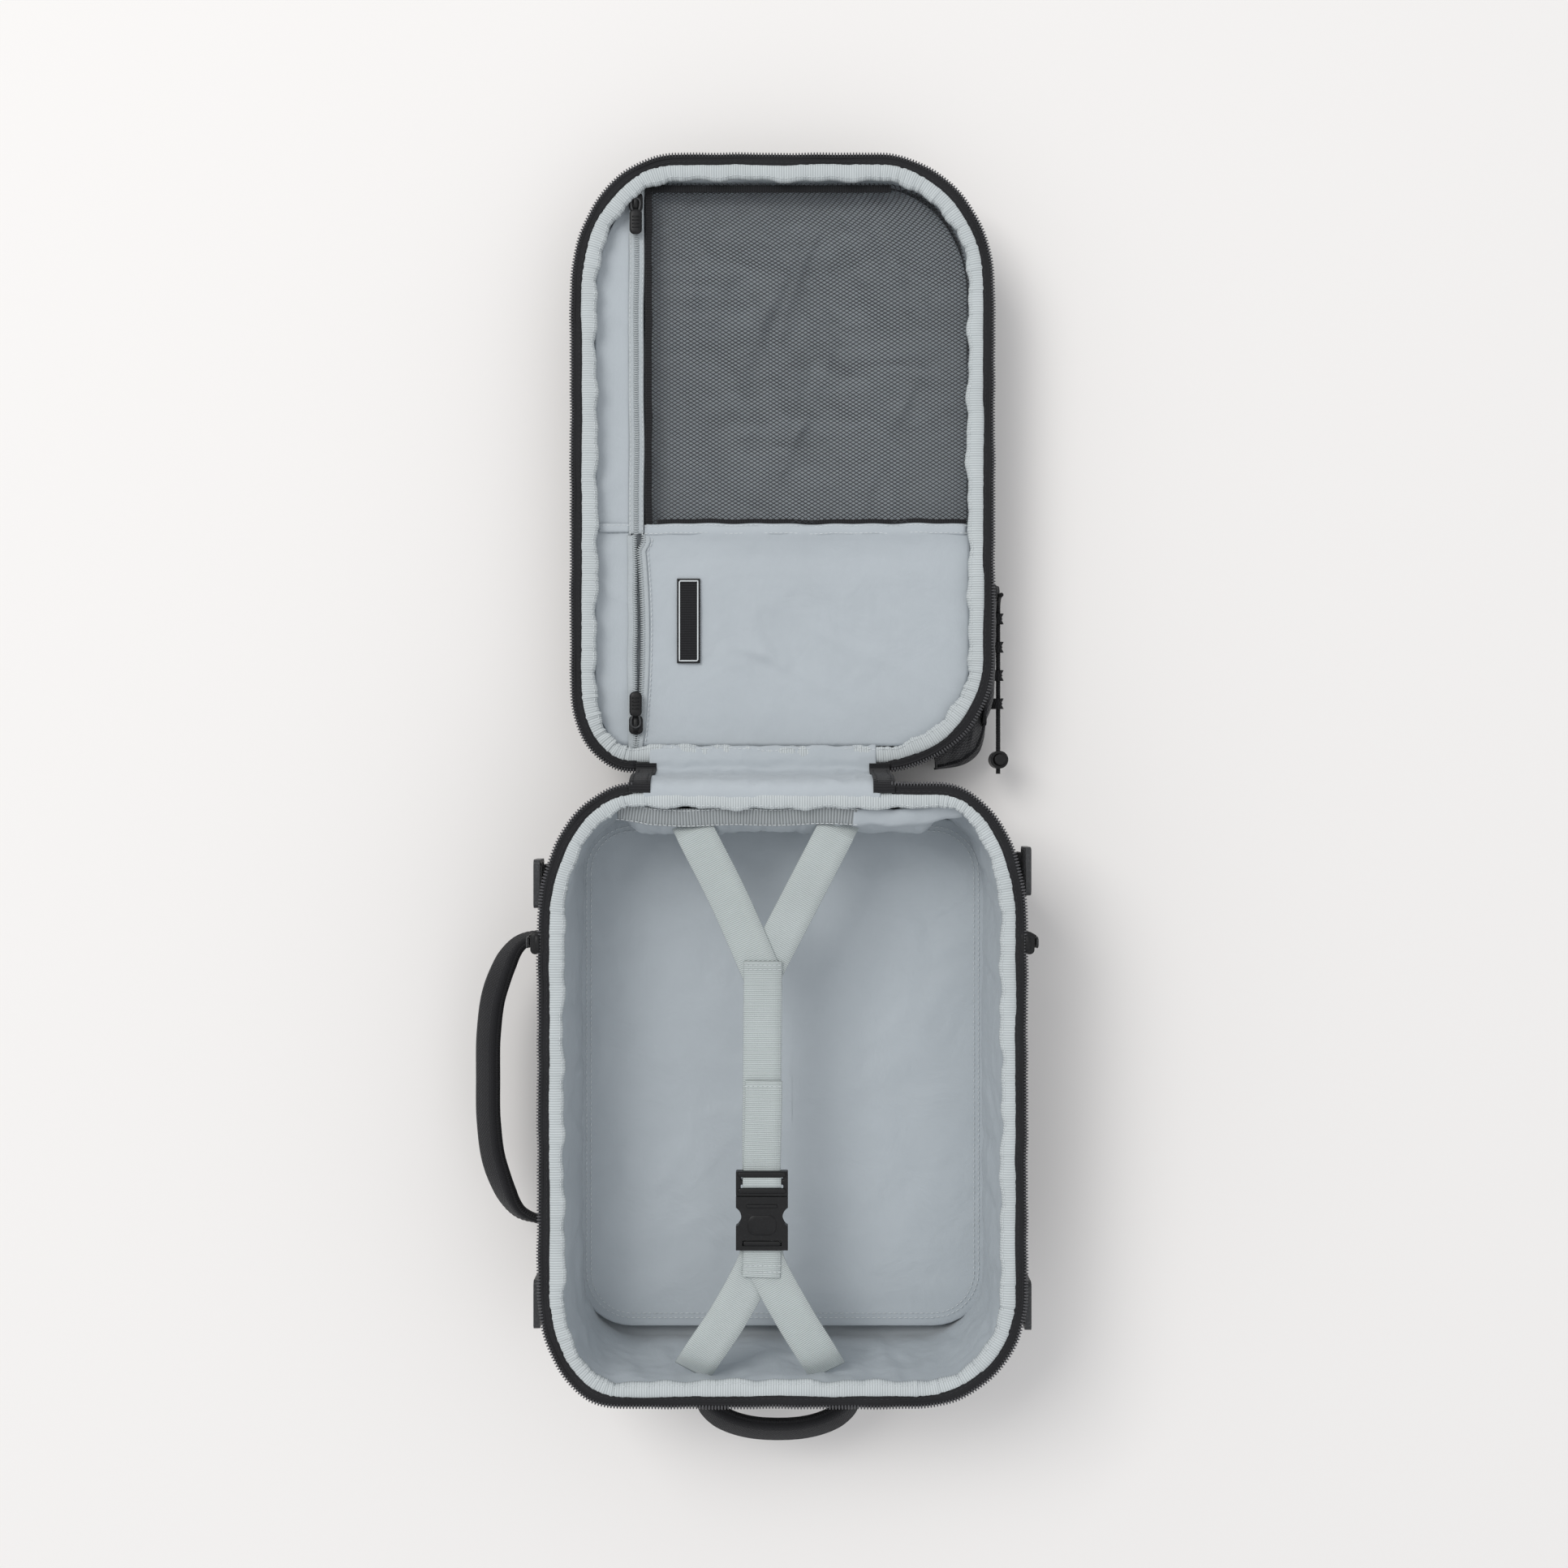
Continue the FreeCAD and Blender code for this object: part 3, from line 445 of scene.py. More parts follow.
def solid(piece, thick, offset=-1.0):
    made = piece.modifiers.new("Thickness", "SOLIDIFY")
    made.thickness = thick * MM
    made.offset = offset
    made.use_even_offset = False
    return piece


def own(piece, body, nodes=()):
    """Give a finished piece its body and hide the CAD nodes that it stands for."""
    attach(piece, body)
    if nodes:
        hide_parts(*nodes)
    return piece


def joined(name, pieces):
    """Several pieces of one body made into one."""
    mesh = bpy.data.meshes.new(name)
    whole = bpy.data.objects.new(name, mesh)
    bpy.context.collection.objects.link(whole)
    work = bmesh.new()
    work.loops.layers.uv.new("UVMap")
    slots = []
    graph = bpy.context.evaluated_depsgraph_get()
    for piece in pieces:
        done = bpy.data.meshes.new_from_object(piece.evaluated_get(graph))
        first = len(work.faces)
        work.from_mesh(done)
        work.faces.ensure_lookup_table()
        own_slots = [m for m in done.materials]
        for face in work.faces[first:]:
            material = own_slots[face.material_index]
            if material not in slots:
                slots.append(material)
            face.material_index = slots.index(material)
        bpy.data.meshes.remove(done)
    work.to_mesh(mesh)
    work.free()
    for material in slots:
        mesh.materials.append(material)
    for piece in pieces:
        bpy.data.objects.remove(piece)
    return whole


# ---------------------------------------------------------------- rim outlines

def outline(mid, wide, long, corners, near, count=360):
    """A rim's outline as points, outward directions and distances. It starts at the hinge and goes round by +X first.
    Corners are (across, along) radii: right near the hinge, right far, left far, left near."""
    w = wide / 2
    d = long / 2
    (ax, ay), (bx, by), (cx, cy), (ex, ey) = corners
    turns = [((w - ax, d - ay), (ax, ay), 90, 0), ((w - bx, -d + by), (bx, by), 0, -90),
             ((-w + cx, -d + cy), (cx, cy), -90, -180), ((-w + ex, d - ey), (ex, ey), 180, 90)]
    line = [(HINGE_X, d)]
    for (x, y), (rx, ry), a, b in turns:
        for angle in np.radians(np.linspace(a, b, 24)):
            line.append((x + rx * math.cos(angle), y + ry * math.sin(angle)))
    line = spaced(np.array(line), count, closed=True)
    ahead = np.roll(line, -1, axis=0) - np.roll(line, 1, axis=0)
    out = np.stack([-ahead[:, 1], ahead[:, 0]], axis=1)
    out = out / np.linalg.norm(out, axis=1, keepdims=True)
    whole = np.linalg.norm(np.roll(line, -1, axis=0) - line, axis=1).sum()
    line[:, 1] *= near
    out[:, 1] *= near
    along = np.arange(count) / count * whole
    return line + np.array(mid[:2]), out, along, whole


MAIN_RIM = outline(MAIN_MID, MAIN_HIGH[0] - MAIN_LOW[0], MAIN_HIGH[1] - MAIN_LOW[1],
                   [(56, 88), (70, 70), (50, 74), (62, 90)], 1)
LID_RIM = outline(LID_MID, LID_HIGH[0] - LID_LOW[0], LID_HIGH[1] - LID_LOW[1],
                  [(78, 74), (77, 88), (70, 90), (40, 56)], -1)


def lifted(rim, inset, z):
    """The rim's outline moved inwards and set at a height, both of which may change along it."""
    line, out = rim[:2]
    flat = line - out * np.reshape(np.broadcast_to(inset, len(line)), (-1, 1))
    return np.column_stack([flat, np.broadcast_to(z, len(line))])


def away_from_hinge(rim, gap):
    """The indices of the rim's points outside the hinge, in order."""
    along, whole = rim[2], rim[3]
    return np.where((along > gap) & (along < whole - gap))[0]


# ---------------------------------------------------------------- things repeated along a line

def make_row():
    """Copies of one small unit, evenly spaced along a line and turned to follow it."""
    tree = bpy.data.node_groups.new("units along a line", "GeometryNodeTree")
    tree.interface.new_socket("Geometry", in_out="INPUT", socket_type="NodeSocketGeometry")
    for label, kind in (("Pitch", "NodeSocketFloat"), ("Unit", "NodeSocketObject"), ("Finish", "NodeSocketMaterial")):
        tree.interface.new_socket(label, in_out="INPUT", socket_type=kind)
    tree.interface.new_socket("Geometry", in_out="OUTPUT", socket_type="NodeSocketGeometry")
    given = tree.nodes.new("NodeGroupInput")
    out = tree.nodes.new("NodeGroupOutput")
    line = add(tree, "GeometryNodeMeshToCurve", {0: given.outputs["Geometry"]})
    spread = add(tree, "GeometryNodeResampleCurve", {"Curve": line.outputs[0], "Length": given.outputs["Pitch"]},
                 mode="LENGTH")
    ahead = add(tree, "GeometryNodeInputTangent")
    turned = add(tree, "FunctionNodeAlignRotationToVector", {"Vector": ahead.outputs[0]}, axis="X", pivot_axis="AUTO")
    unit = add(tree, "GeometryNodeObjectInfo", {"Object": given.outputs["Unit"]})
    copies = add(tree, "GeometryNodeInstanceOnPoints", {"Points": spread.outputs[0],
                                                        "Instance": unit.outputs["Geometry"],
                                                        "Rotation": turned.outputs[0]})
    real = add(tree, "GeometryNodeRealizeInstances", {0: copies.outputs[0]})
    finish = add(tree, "GeometryNodeSetMaterial", {"Geometry": real.outputs[0], "Material": given.outputs["Finish"]})
    tree.links.new(finish.outputs[0], out.inputs[0])
    return tree


ROW = make_row()


def bead(name, long, wide, high):
    """A small rounded unit: a block whose ends draw in."""
    x = long / 2
    y = wide / 2
    z = high / 2
    rows = []
    for at, shrink in ((-x, 0.45), (-x * 0.55, 1.0), (x * 0.55, 1.0), (x, 0.45)):
        rows.append([(at, math.cos(a) * y * shrink, math.sin(a) * z * shrink)
                     for a in np.linspace(0, 2 * math.pi, 6, endpoint=False)])
    piece = skin(name, np.array(rows), THREAD, round_=True, caps=True)
    bpy.context.collection.objects.unlink(piece)
    return piece


TOOTH = bead("tooth", 1.15, 3.0, 1.7)
STITCH = bead("stitch", 2.3, 0.55, 0.5)
SMALL_TOOTH = bead("small tooth", 0.9, 3.4, 1.5)
PITCH = 3.3
COIL_PITCH = 1.5


def row(name, path, unit, pitch, material, closed=False):
    """One line of units as a plain mesh."""
    path = np.asarray(path, float) * MM
    count = len(path)
    edges = [(i, i + 1) for i in range(count - 1)] + ([(count - 1, 0)] if closed else [])
    mesh = bpy.data.meshes.new(name)
    mesh.from_pydata(path.tolist(), edges, [])
    piece = bpy.data.objects.new(name, mesh)
    bpy.context.collection.objects.link(piece)
    modifier = piece.modifiers.new("Row", "NODES")
    modifier.node_group = ROW
    sockets = {item.name: item.identifier for item in ROW.interface.items_tree if item.in_out == "INPUT"}
    modifier[sockets["Pitch"]] = pitch * MM
    modifier[sockets["Unit"]] = unit
    modifier[sockets["Finish"]] = material
    done = bpy.data.meshes.new_from_object(piece.evaluated_get(bpy.context.evaluated_depsgraph_get()))
    piece.modifiers.clear()
    piece.data = done
    done.shade_smooth()
    return piece


# ---------------------------------------------------------------- shells

def bag_wall(name, rim, inset, top, low, base, material, bulge, rows=34, corner=14, wrinkle=1.0, floor=True, seed=1,
             flip=False):
    """A soft wall from the rim down to a rounded lower edge, closed by a floor.

    base is (wide, long, corner radii).
    """
    line, out = rim[:2]
    start_line = line - out * inset
    low_line = outline((*line.mean(axis=0), 0), base[0], base[1], base[2], 1 if rim is MAIN_RIM else -1)[0]
    low_line = low_line + (start_line.min(axis=0) + start_line.max(axis=0)) / 2 - (low_line.min(axis=0)
                                                                                   + low_line.max(axis=0)) / 2
    grid = []
    drop = top - low
    for t in np.linspace(0, 1, rows):
        depth = t * (drop - corner)
        share = depth / drop
        belly = bulge * math.sin(math.pi * min(1.0, share * 1.05))
        flat = start_line * (1 - share) + low_line * share + out * belly
        grid.append(np.column_stack([flat, np.full(len(flat), top - depth)]))
    share = (drop - corner) / drop
    base_line = start_line * (1 - share) + low_line * share + out * bulge * math.sin(math.pi * min(1.0, share * 1.05))
    for angle in np.radians(np.linspace(12, 90, 8)):
        flat = base_line - out * corner * (1 - math.cos(angle))
        grid.append(np.column_stack([flat, np.full(len(flat), low + corner - corner * math.sin(angle))]))
    if floor:
        middle = (start_line.min(axis=0) + start_line.max(axis=0)) / 2
        last = grid[-1][:, :2]
        for share in (0.94, 0.85, 0.72, 0.57, 0.4, 0.22, 0.08):
            flat = middle + (last - middle) * share
            grid.append(np.column_stack([flat, np.full(len(flat), low)]))
    grid = np.array(grid)
    rows_all = len(grid)
    fade = np.clip(np.arange(rows_all) / 5.0, 0, 1)[:, None]
    flatness = np.clip((grid[..., 2] - low) / 30.0, 0.0, 1)
    shift = crumple(grid, 62, wrinkle * 2.2, seed) + crumple(grid, 24, wrinkle * 0.8, seed + 9)
    shift = shift * fade * flatness
    grid[..., :2] += out[None] * shift[..., None]
    return skin(name, grid, material, round_=True, caps=False, flip=flip)


def close_floor(piece):
    """Fills the small hole left in the middle of a floor."""
    work = bmesh.new()
    work.from_mesh(piece.data)
    edges = [e for e in work.edges if e.is_boundary]
    height = min(v.co.z for v in work.verts)
    low = [e for e in edges if max(v.co.z for v in e.verts) < height + 0.004]
    if low:
        bmesh.ops.holes_fill(work, edges=low, sides=0)
    work.to_mesh(piece.data)
    work.free()
    piece.data.shade_smooth()
    return piece


def rim_ribbon(name, rim, inset, z, wide, material, body, node, rumple=1.0, seed=3):
    """The ribbon folded over a rim.

    Its inner edge wanders, it puckers at its stitches and it gathers at the corners.
    """
    whole = rim[3]
    path, ways, run = outline_points(rim, 1500)
    turn = np.linalg.norm(np.roll(ways, -9, axis=0) - np.roll(ways, 9, axis=0), axis=1)
    gather = 1 + 2.2 * np.clip(turn * 3, 0, 1)
    outer = inset - wide / 2 + closed_ripple(run, whole, (7, 19, 33), 0.5 * rumple, seed)
    broad = wide * (1 + closed_ripple(run, whole, (6, 13, 29, 57), 0.3 * rumple,
                                      seed + 1)) * (1 - 0.1 * np.clip(turn * 3, 0, 1))
    pucker = closed_ripple(run, whole, (173, 251, 331), 0.42 * rumple,
                           seed + 2) * gather + closed_ripple(run, whole, (61, 97), 0.4 * rumple, seed + 3)
    sag = closed_ripple(run, whole, (5, 11, 23), 0.7 * rumple, seed + 4)
    grid = []
    for share, rise, ruffle in ((0.0, -2.6, 0.0), (0.0, -0.9, 0.2), (0.06, 0.2, 0.4), (0.2, 0.75, 0.8),
                                (0.4, 1.0, 1.0), (0.6, 0.85, 1.0), (0.78, 0.55, 1.2), (0.92, 0.1, 1.6),
                                (1.0, -0.8, 1.8), (1.0, -2.8, 1.2), (0.86, -3.6, 0.6), (0.5, -3.8, 0.0),
                                (0.12, -3.6, 0.0)):
        edge = outer + broad * share + pucker * ruffle * 0.6 * (share > 0.7)
        grid.append(np.column_stack([path - ways * edge[:, None], z + rise * 1.3 + sag + pucker * ruffle * 0.75]))
    grid = np.array(grid).transpose(1, 0, 2)
    piece = skin(name, grid, material, round_=True, ring=True, flip=rim is LID_RIM)
    own(piece, body, [node] if node else [])
    seam = outer + broad * 0.84
    stitches = np.column_stack([path - ways * seam[:, None], z + 0.75 + sag + pucker * 0.8])
    own(row(name + "_stitches", stitches, STITCH, 3.1, THREAD, closed=True), body)


def outline_points(rim, count):
    """A rim's outline and outward directions again, with more points."""
    line, out, along, whole = rim
    at = np.linspace(0, whole, count, endpoint=False)
    stops = np.append(along, whole)
    path = np.stack([np.interp(at, stops, np.append(line[:, k], line[0, k])) for k in (0, 1)], axis=1)
    ways = np.stack([np.interp(at, stops, np.append(out[:, k], out[0, k])) for k in (0, 1)], axis=1)
    return path, ways / np.linalg.norm(ways, axis=1, keepdims=True), at


def zip_side(name, rim, inset, z, body, node, seed, droop=0.0, end=-2):
    """One side of the long zip: its woven tape and the row of coil teeth at its free edge. Both stop at the hinge."""
    keep = away_from_hinge(rim, HINGE_HALF + end)
    along = rim[2]
    sway = ripple(along, (90, 47, 26), 0.5, seed)
    path = lifted(rim, inset + sway, z + ripple(along, (120, 60), 0.4, seed + 5) - droop)[keep]
    tape = sweep(name, path, flat_section(7.2, 0.9), material=TAPE)
    own(tape, body, [node])
    edge = lifted(rim, inset - 3.3 + sway, z + 0.6 - droop)[keep]
    teeth = row(name + "_teeth", edge, TOOTH, 2.0, COIL)
    own(teeth, body)
    cord = sweep(name + "_cord", lifted(rim, inset - 1.4 + sway, z + 0.5 - droop)[keep], round_section(1.3, 1.0, 8),
                 TAPE)
    own(cord, body)
    seam = row(name + "_stitches", lifted(rim, inset + 1.6 + sway, z + 0.55 - droop)[keep], STITCH, 3.4, DARK_THREAD)
    own(seam, body)


def main_half():
    shell = bag_wall("main_shell_skin", MAIN_RIM, 4.5, MAIN_TOP - 2.6, 12.2,
                     (288, 374, [(46, 46), (52, 52), (44, 50), (48, 50)]), BLACK, 4.5, corner=16, wrinkle=0.9,
                     seed=11)
    own(solid(close_floor(shell), 1.6), "main", ["main_shell"])
    lining = bag_wall("main_lining_skin", MAIN_RIM, 12.5, MAIN_TOP - 2.0, 25.5,
                      (266, 352, [(40, 40), (42, 42), (38, 42), (40, 42)]), LINING, 1.5, corner=12, wrinkle=1.5,
                      seed=23)
    own(solid(close_floor(lining), 1.0, 1.0), "main", ["main_lining"])
    rim_ribbon("main_rim_ribbon", MAIN_RIM, 10.8, MAIN_TOP - 1.45, 10.2, EDGING, "main", "main_binding",
               0.75, 31)
    zip_side("main_zip", MAIN_RIM, 3.6, MAIN_TOP - 1.3, "main", "main_zip_tape", 41)
    piping = sweep("main_base_piping", lifted(MAIN_RIM, 9.0, 27.0), round_section(3.2, 3.2, 8), DARK_WEBBING,
                   ring=True)
    own(piping, "main")


def lid_half():
    shell = bag_wall("lid_shell_skin", LID_RIM, 4.5, LID_TOP - 2.6, 12.2,
                     (258, 387, [(60, 60), (60, 66), (56, 66), (40, 50)]), BLACK, 2.5, rows=22, corner=8, wrinkle=0.8,
                     seed=51, flip=True)
    own(solid(close_floor(shell), 1.4), "lid", ["lid_shell"])
    lining = bag_wall("lid_lining_skin", LID_RIM, 13.5, LID_TOP - 2.2, 16.4,
                      (246, 374, [(52, 52), (52, 60), (50, 60), (34, 44)]), LINING, 0.5, rows=20, corner=6,
                      wrinkle=0.9, seed=57, flip=True)
    own(solid(close_floor(lining), 0.8, 1.0), "lid", ["lid_lining"])
    rim_ribbon("lid_rim_ribbon", LID_RIM, 11.3, LID_TOP - 1.45, 11.2, EDGING, "lid", "lid_binding",
               0.75, 61)
    zip_side("lid_zip", LID_RIM, 3.6, LID_TOP - 1.3, "lid", "lid_zip_tape", 71)


# ---------------------------------------------------------------- flat cloth panels

def edge_x(rim, inset, y, side):
    """Where the inset outline crosses a Y value, on the left (-1) or the right (1)."""
    points = rim[0] - rim[1] * inset
    middle = (points[:, 0].min() + points[:, 0].max()) / 2
    half = points[(points[:, 0] - middle) * side >= 0]
    half = half[np.argsort(half[:, 1])]
    return np.interp(y, half[:, 1], half[:, 0])


def panel(name, left, right, low, high, z, material, cols=60, rows=60, sag=2.0, wrinkle=0.8, seed=5, inset=18.0,
          tension=None):
    """A cloth panel across the lid between two Y values. left and right are X functions of Y, kept inside the rim."""
    ys = np.linspace(low, high, rows)
    grid = np.zeros((rows, cols, 3))
    for r, y in enumerate(ys):
        a = max(left(y), edge_x(LID_RIM, inset, y, -1))
        b = min(right(y), edge_x(LID_RIM, inset, y, 1))
        b = max(b, a + 2)
        grid[r, :, 0] = np.linspace(a, b, cols)
        grid[r, :, 1] = y
    s = np.linspace(0, 1, cols)[None, :]
    t = np.linspace(0, 1, rows)[:, None]
    dip = np.sin(np.pi * s) * np.sin(np.pi * t)
    grid[..., 2] = z - sag * dip + crumple(grid, 90, wrinkle * 1.6,
                                           seed) * (0.25 + dip) + crumple(grid, 34, wrinkle * 0.5,
                                                                          seed + 4) * (0.3 + dip)
    if tension:
        grid[..., 2] += tension(s, t)
    return skin(name, grid, material)


COVER_Z = span("lid_column")[1][2] + 0.4
ZIP_X = span("mesh_slider")[2][0]
SEAM_Y = span("lower_pocket")[1][1] + 0.3


def lid_cover():
    """The lid's inner cover: a strip down the left, the net pocket above and the plain pocket below."""
    low = LID_LOW[1] + 17
    high = LID_HIGH[1] - 17
    strip = panel("cover_strip", lambda y: -200, lambda y: ZIP_X - 4.4, low, high, COVER_Z, COVER, cols=16, rows=90,
                  sag=1.0, wrinkle=1.0, seed=81, inset=14.8)
    own(solid(strip, 0.9), "lid", ["lid_column"])
    mesh_panel = panel("net_panel", lambda y: ZIP_X + 8.5, lambda y: 200, SEAM_Y + 1.5, high + 1, COVER_Z + 0.2, NET,
                       cols=130, rows=140, sag=6.5, wrinkle=1.5, seed=85, inset=15.2)
    own(solid(mesh_panel, 0.5), "lid", ["mesh_pocket"])
    back = panel("net_backing", lambda y: ZIP_X + 8, lambda y: 200, SEAM_Y + 1, high, COVER_Z - 11, LINING, cols=110,
                 rows=120, sag=6.0, wrinkle=4.0, seed=87, inset=15.5)
    own(solid(back, 0.6), "lid")

    def bowed(y):
        t = np.clip((y - low) / (SEAM_Y - low), 0, 1)
        clear = np.clip((y - SEAM_Y + 20) / 9, 0, 1)
        return ZIP_X + max(0.6 + 4.6 * math.sin(math.pi * t) ** 0.8, 5.6 * clear)

    lower = panel("plain_pocket", bowed, lambda y: 200, low, SEAM_Y + 1.0, COVER_Z + 0.6, COVER, cols=90, rows=64,
                  sag=3.2, wrinkle=1.5, seed=91, inset=15.0, tension=lambda s,
                  t: 1.6 * np.exp(-((t - 0.97) / 0.03) ** 2) - 1.4 * np.exp(-((t - 0.86) / 0.06) ** 2)
                  * np.sin(np.pi * s))
    own(solid(lower, 0.9), "lid", ["lower_pocket"])
    behind = panel("plain_pocket_backing", lambda y: ZIP_X - 9, lambda y: ZIP_X + 30, low - 1, SEAM_Y, COVER_Z - 5,
                   COVER, cols=14, rows=60, sag=2.0, wrinkle=0.8, seed=93, inset=15.2)
    own(solid(behind, 0.6), "lid")
    hems(low, high, bowed)
    lid_zips(low, high, bowed)
    patch()


def hems(low, high, bowed):
    """The net's bound edge, the plain pocket's hem, the cross seam and their stitching."""
    x = ZIP_X + 8.0
    top = high - 2
    left_edge = np.column_stack([np.full(70, x), np.linspace(SEAM_Y + 1, top, 70), np.full(70, COVER_Z + 0.9)])
    left_edge[:, 0] += ripple(left_edge[:, 1], (70, 33), 0.5, 4)
    bound = sweep("net_edge", left_edge, flat_section(4.8, 0.9), DARK_WEBBING)
    own(bound, "lid", ["pocket_hems"])
    inner = np.linspace(0, 1, 90)
    right_at = edge_x(LID_RIM, 17.5, SEAM_Y, 1)
    hem = np.column_stack([bowed(SEAM_Y) + 1 + inner * (right_at - bowed(SEAM_Y) - 1), np.full(90, SEAM_Y - 2.0),
                           np.full(90, COVER_Z + 1.6)])
    hem[:, 1] += ripple(hem[:, 0], (120, 50, 27), 0.9, 6)
    hem[:, 2] += ripple(hem[:, 0], (60, 31), 0.5, 8) - 1.2 * np.sin(np.pi * inner)
    fold = sweep("plain_hem", hem, flat_section(7.5, 1.3, 0.4), COVER)
    own(fold, "lid")
    for k, shift in enumerate((-2.6, 2.4)):
        line = hem + np.array([0, shift, 0.95])
        own(row(f"hem_stitches_{k}", line, STITCH, PITCH, THREAD), "lid")
    dark = hem + np.array([0, 5.2, -0.7])
    own(sweep("net_lower_edge", dark[3:], flat_section(3.4, 0.8), DARK_WEBBING), "lid")
    arc_x = np.linspace(x + 2, edge_x(LID_RIM, 19, high - 3, 1), 60)
    top_line = np.column_stack([arc_x, np.full(60, top - 1.0), np.full(60, COVER_Z + 0.9)])
    own(sweep("net_top_edge", top_line, flat_section(5.0, 0.9), DARK_WEBBING), "lid")
    own(row("net_edge_stitches", left_edge + np.array([-1.2, 0, 0.6]), STITCH, PITCH, DARK_THREAD), "lid")
    left_at = edge_x(LID_RIM, 17, SEAM_Y, -1)
    cross = np.column_stack([np.linspace(left_at, ZIP_X - 5, 14), np.full(14, SEAM_Y - 1.0),
                             np.full(14, COVER_Z + 0.7)])
    own(sweep("strip_seam", cross, flat_section(6.0, 1.0, 0.3), COVER), "lid")
    own(row("strip_seam_stitches", cross + np.array([0, 1.6, 0.8]), STITCH, PITCH, THREAD), "lid")
    ys = np.linspace(low + 4, SEAM_Y - 6, 60)
    beside = np.column_stack([[bowed(y) + 5.0 for y in ys], ys, np.full(60, COVER_Z + 1.3)])
    own(row("pocket_edge_stitches", beside, STITCH, PITCH, THREAD), "lid")


def coil_pair(name, path, body, tape, coil, wide, halves=True):
    """A closed coil zip: two woven tapes with the coil between them."""
    own(sweep(name + "_tape", path, flat_section(wide, 0.7), tape), body, ["pocket_zips"] if halves else [])
    own(row(name + "_coil", path + np.array([0, 0, 0.8]), SMALL_TOOTH, COIL_PITCH, coil), body)
    for k, side in enumerate((-1, 1)):
        line = path + np.array([side * (wide / 2 - 1.0), 0, 0.5])
        own(row(f"{name}_seam_{k}", line, STITCH, PITCH, THREAD if tape is GREY_TAPE else DARK_THREAD), body)


def lid_zips(low, high, bowed):
    """The net pocket's zip is shut; the plain pocket's stands open, its two sides bowed apart."""
    ys = np.linspace(SEAM_Y - 5, high - 2, 96)
    path = np.column_stack([ZIP_X + ripple(ys, (140, 60), 0.5, 12), ys, np.full(96, COVER_Z + 1.2)])
    coil_pair("net_zip", path, "lid", GREY_TAPE, GREY_COIL, 10.0)
    ys = np.linspace(low - 2, SEAM_Y - 6, 70)
    left = np.column_stack([ZIP_X - 3.2 + ripple(ys, (90, 40), 0.4, 14), ys, np.full(70, COVER_Z + 0.9)])
    own(sweep("open_zip_left", left, flat_section(5.0, 0.7), GREY_TAPE), "lid")
    own(row("open_zip_left_coil", left + np.array([2.4, 0, 0.4]), SMALL_TOOTH, COIL_PITCH, GREY_COIL), "lid")
    right = np.column_stack([[bowed(y) + 1.4 for y in ys], ys, np.full(70, COVER_Z + 1.1)])
    own(sweep("open_zip_right", right, flat_section(4.6, 0.7), GREY_TAPE), "lid")
    own(row("open_zip_right_coil", right + np.array([-2.2, 0, 0.4]), SMALL_TOOTH, COIL_PITCH, GREY_COIL), "lid")


def patch():
    """A small woven patch with a light border."""
    low, high, mid = span("woven_patch")
    z = COVER_Z + 0.9
    ys = np.linspace(low[1], high[1], 24)
    path = np.column_stack([np.full(24, mid[0]), ys, np.full(24, z)])
    own(sweep("patch_cloth", path, flat_section(high[0] - low[0], 0.9), DARK_WEBBING), "lid", ["woven_patch"])
    w = (high[0] - low[0]) / 2 - 1.6
    h = (high[1] - low[1]) / 2 - 1.6
    loop = np.array([(mid[0] + x, mid[1] + y, z + 0.65) for x,
                     y in ((w, h), (w, 0), (w, -h), (-w, -h), (-w, 0), (-w, h))])
    corner_line = spaced(loop, 90, closed=True)
    own(sweep("patch_border", corner_line, flat_section(0.9, 0.35), THREAD, ring=True), "lid")


# ---------------------------------------------------------------- padded and moulded forms

def rounded_edge(x, y, wide, long, radius, side=14, turn=10):
    """A rounded rectangle round a centre. Every size of it has the same number of points in the same order."""
    radius = min(radius, wide / 2 - 0.01, long / 2 - 0.01)
    corners = []
    for sx, sy, first in ((1, -1, -90), (1, 1, 0), (-1, 1, 90), (-1, -1, 180)):
        corners.append([(x + sx * (wide / 2 - radius) + radius * math.cos(a),
                         y + sy * (long / 2 - radius) + radius * math.sin(a))
                        for a in np.radians(np.linspace(first, first + 90, turn))])
    line = []
    for k, corner in enumerate(corners):
        line.extend(corner)
        start_at = np.array(corner[-1])
        step = np.array(corners[(k + 1) % 4][0]) - start_at
        line.extend(start_at + step * t for t in np.linspace(0, 1, side + 2)[1:-1])
    return np.array(line)


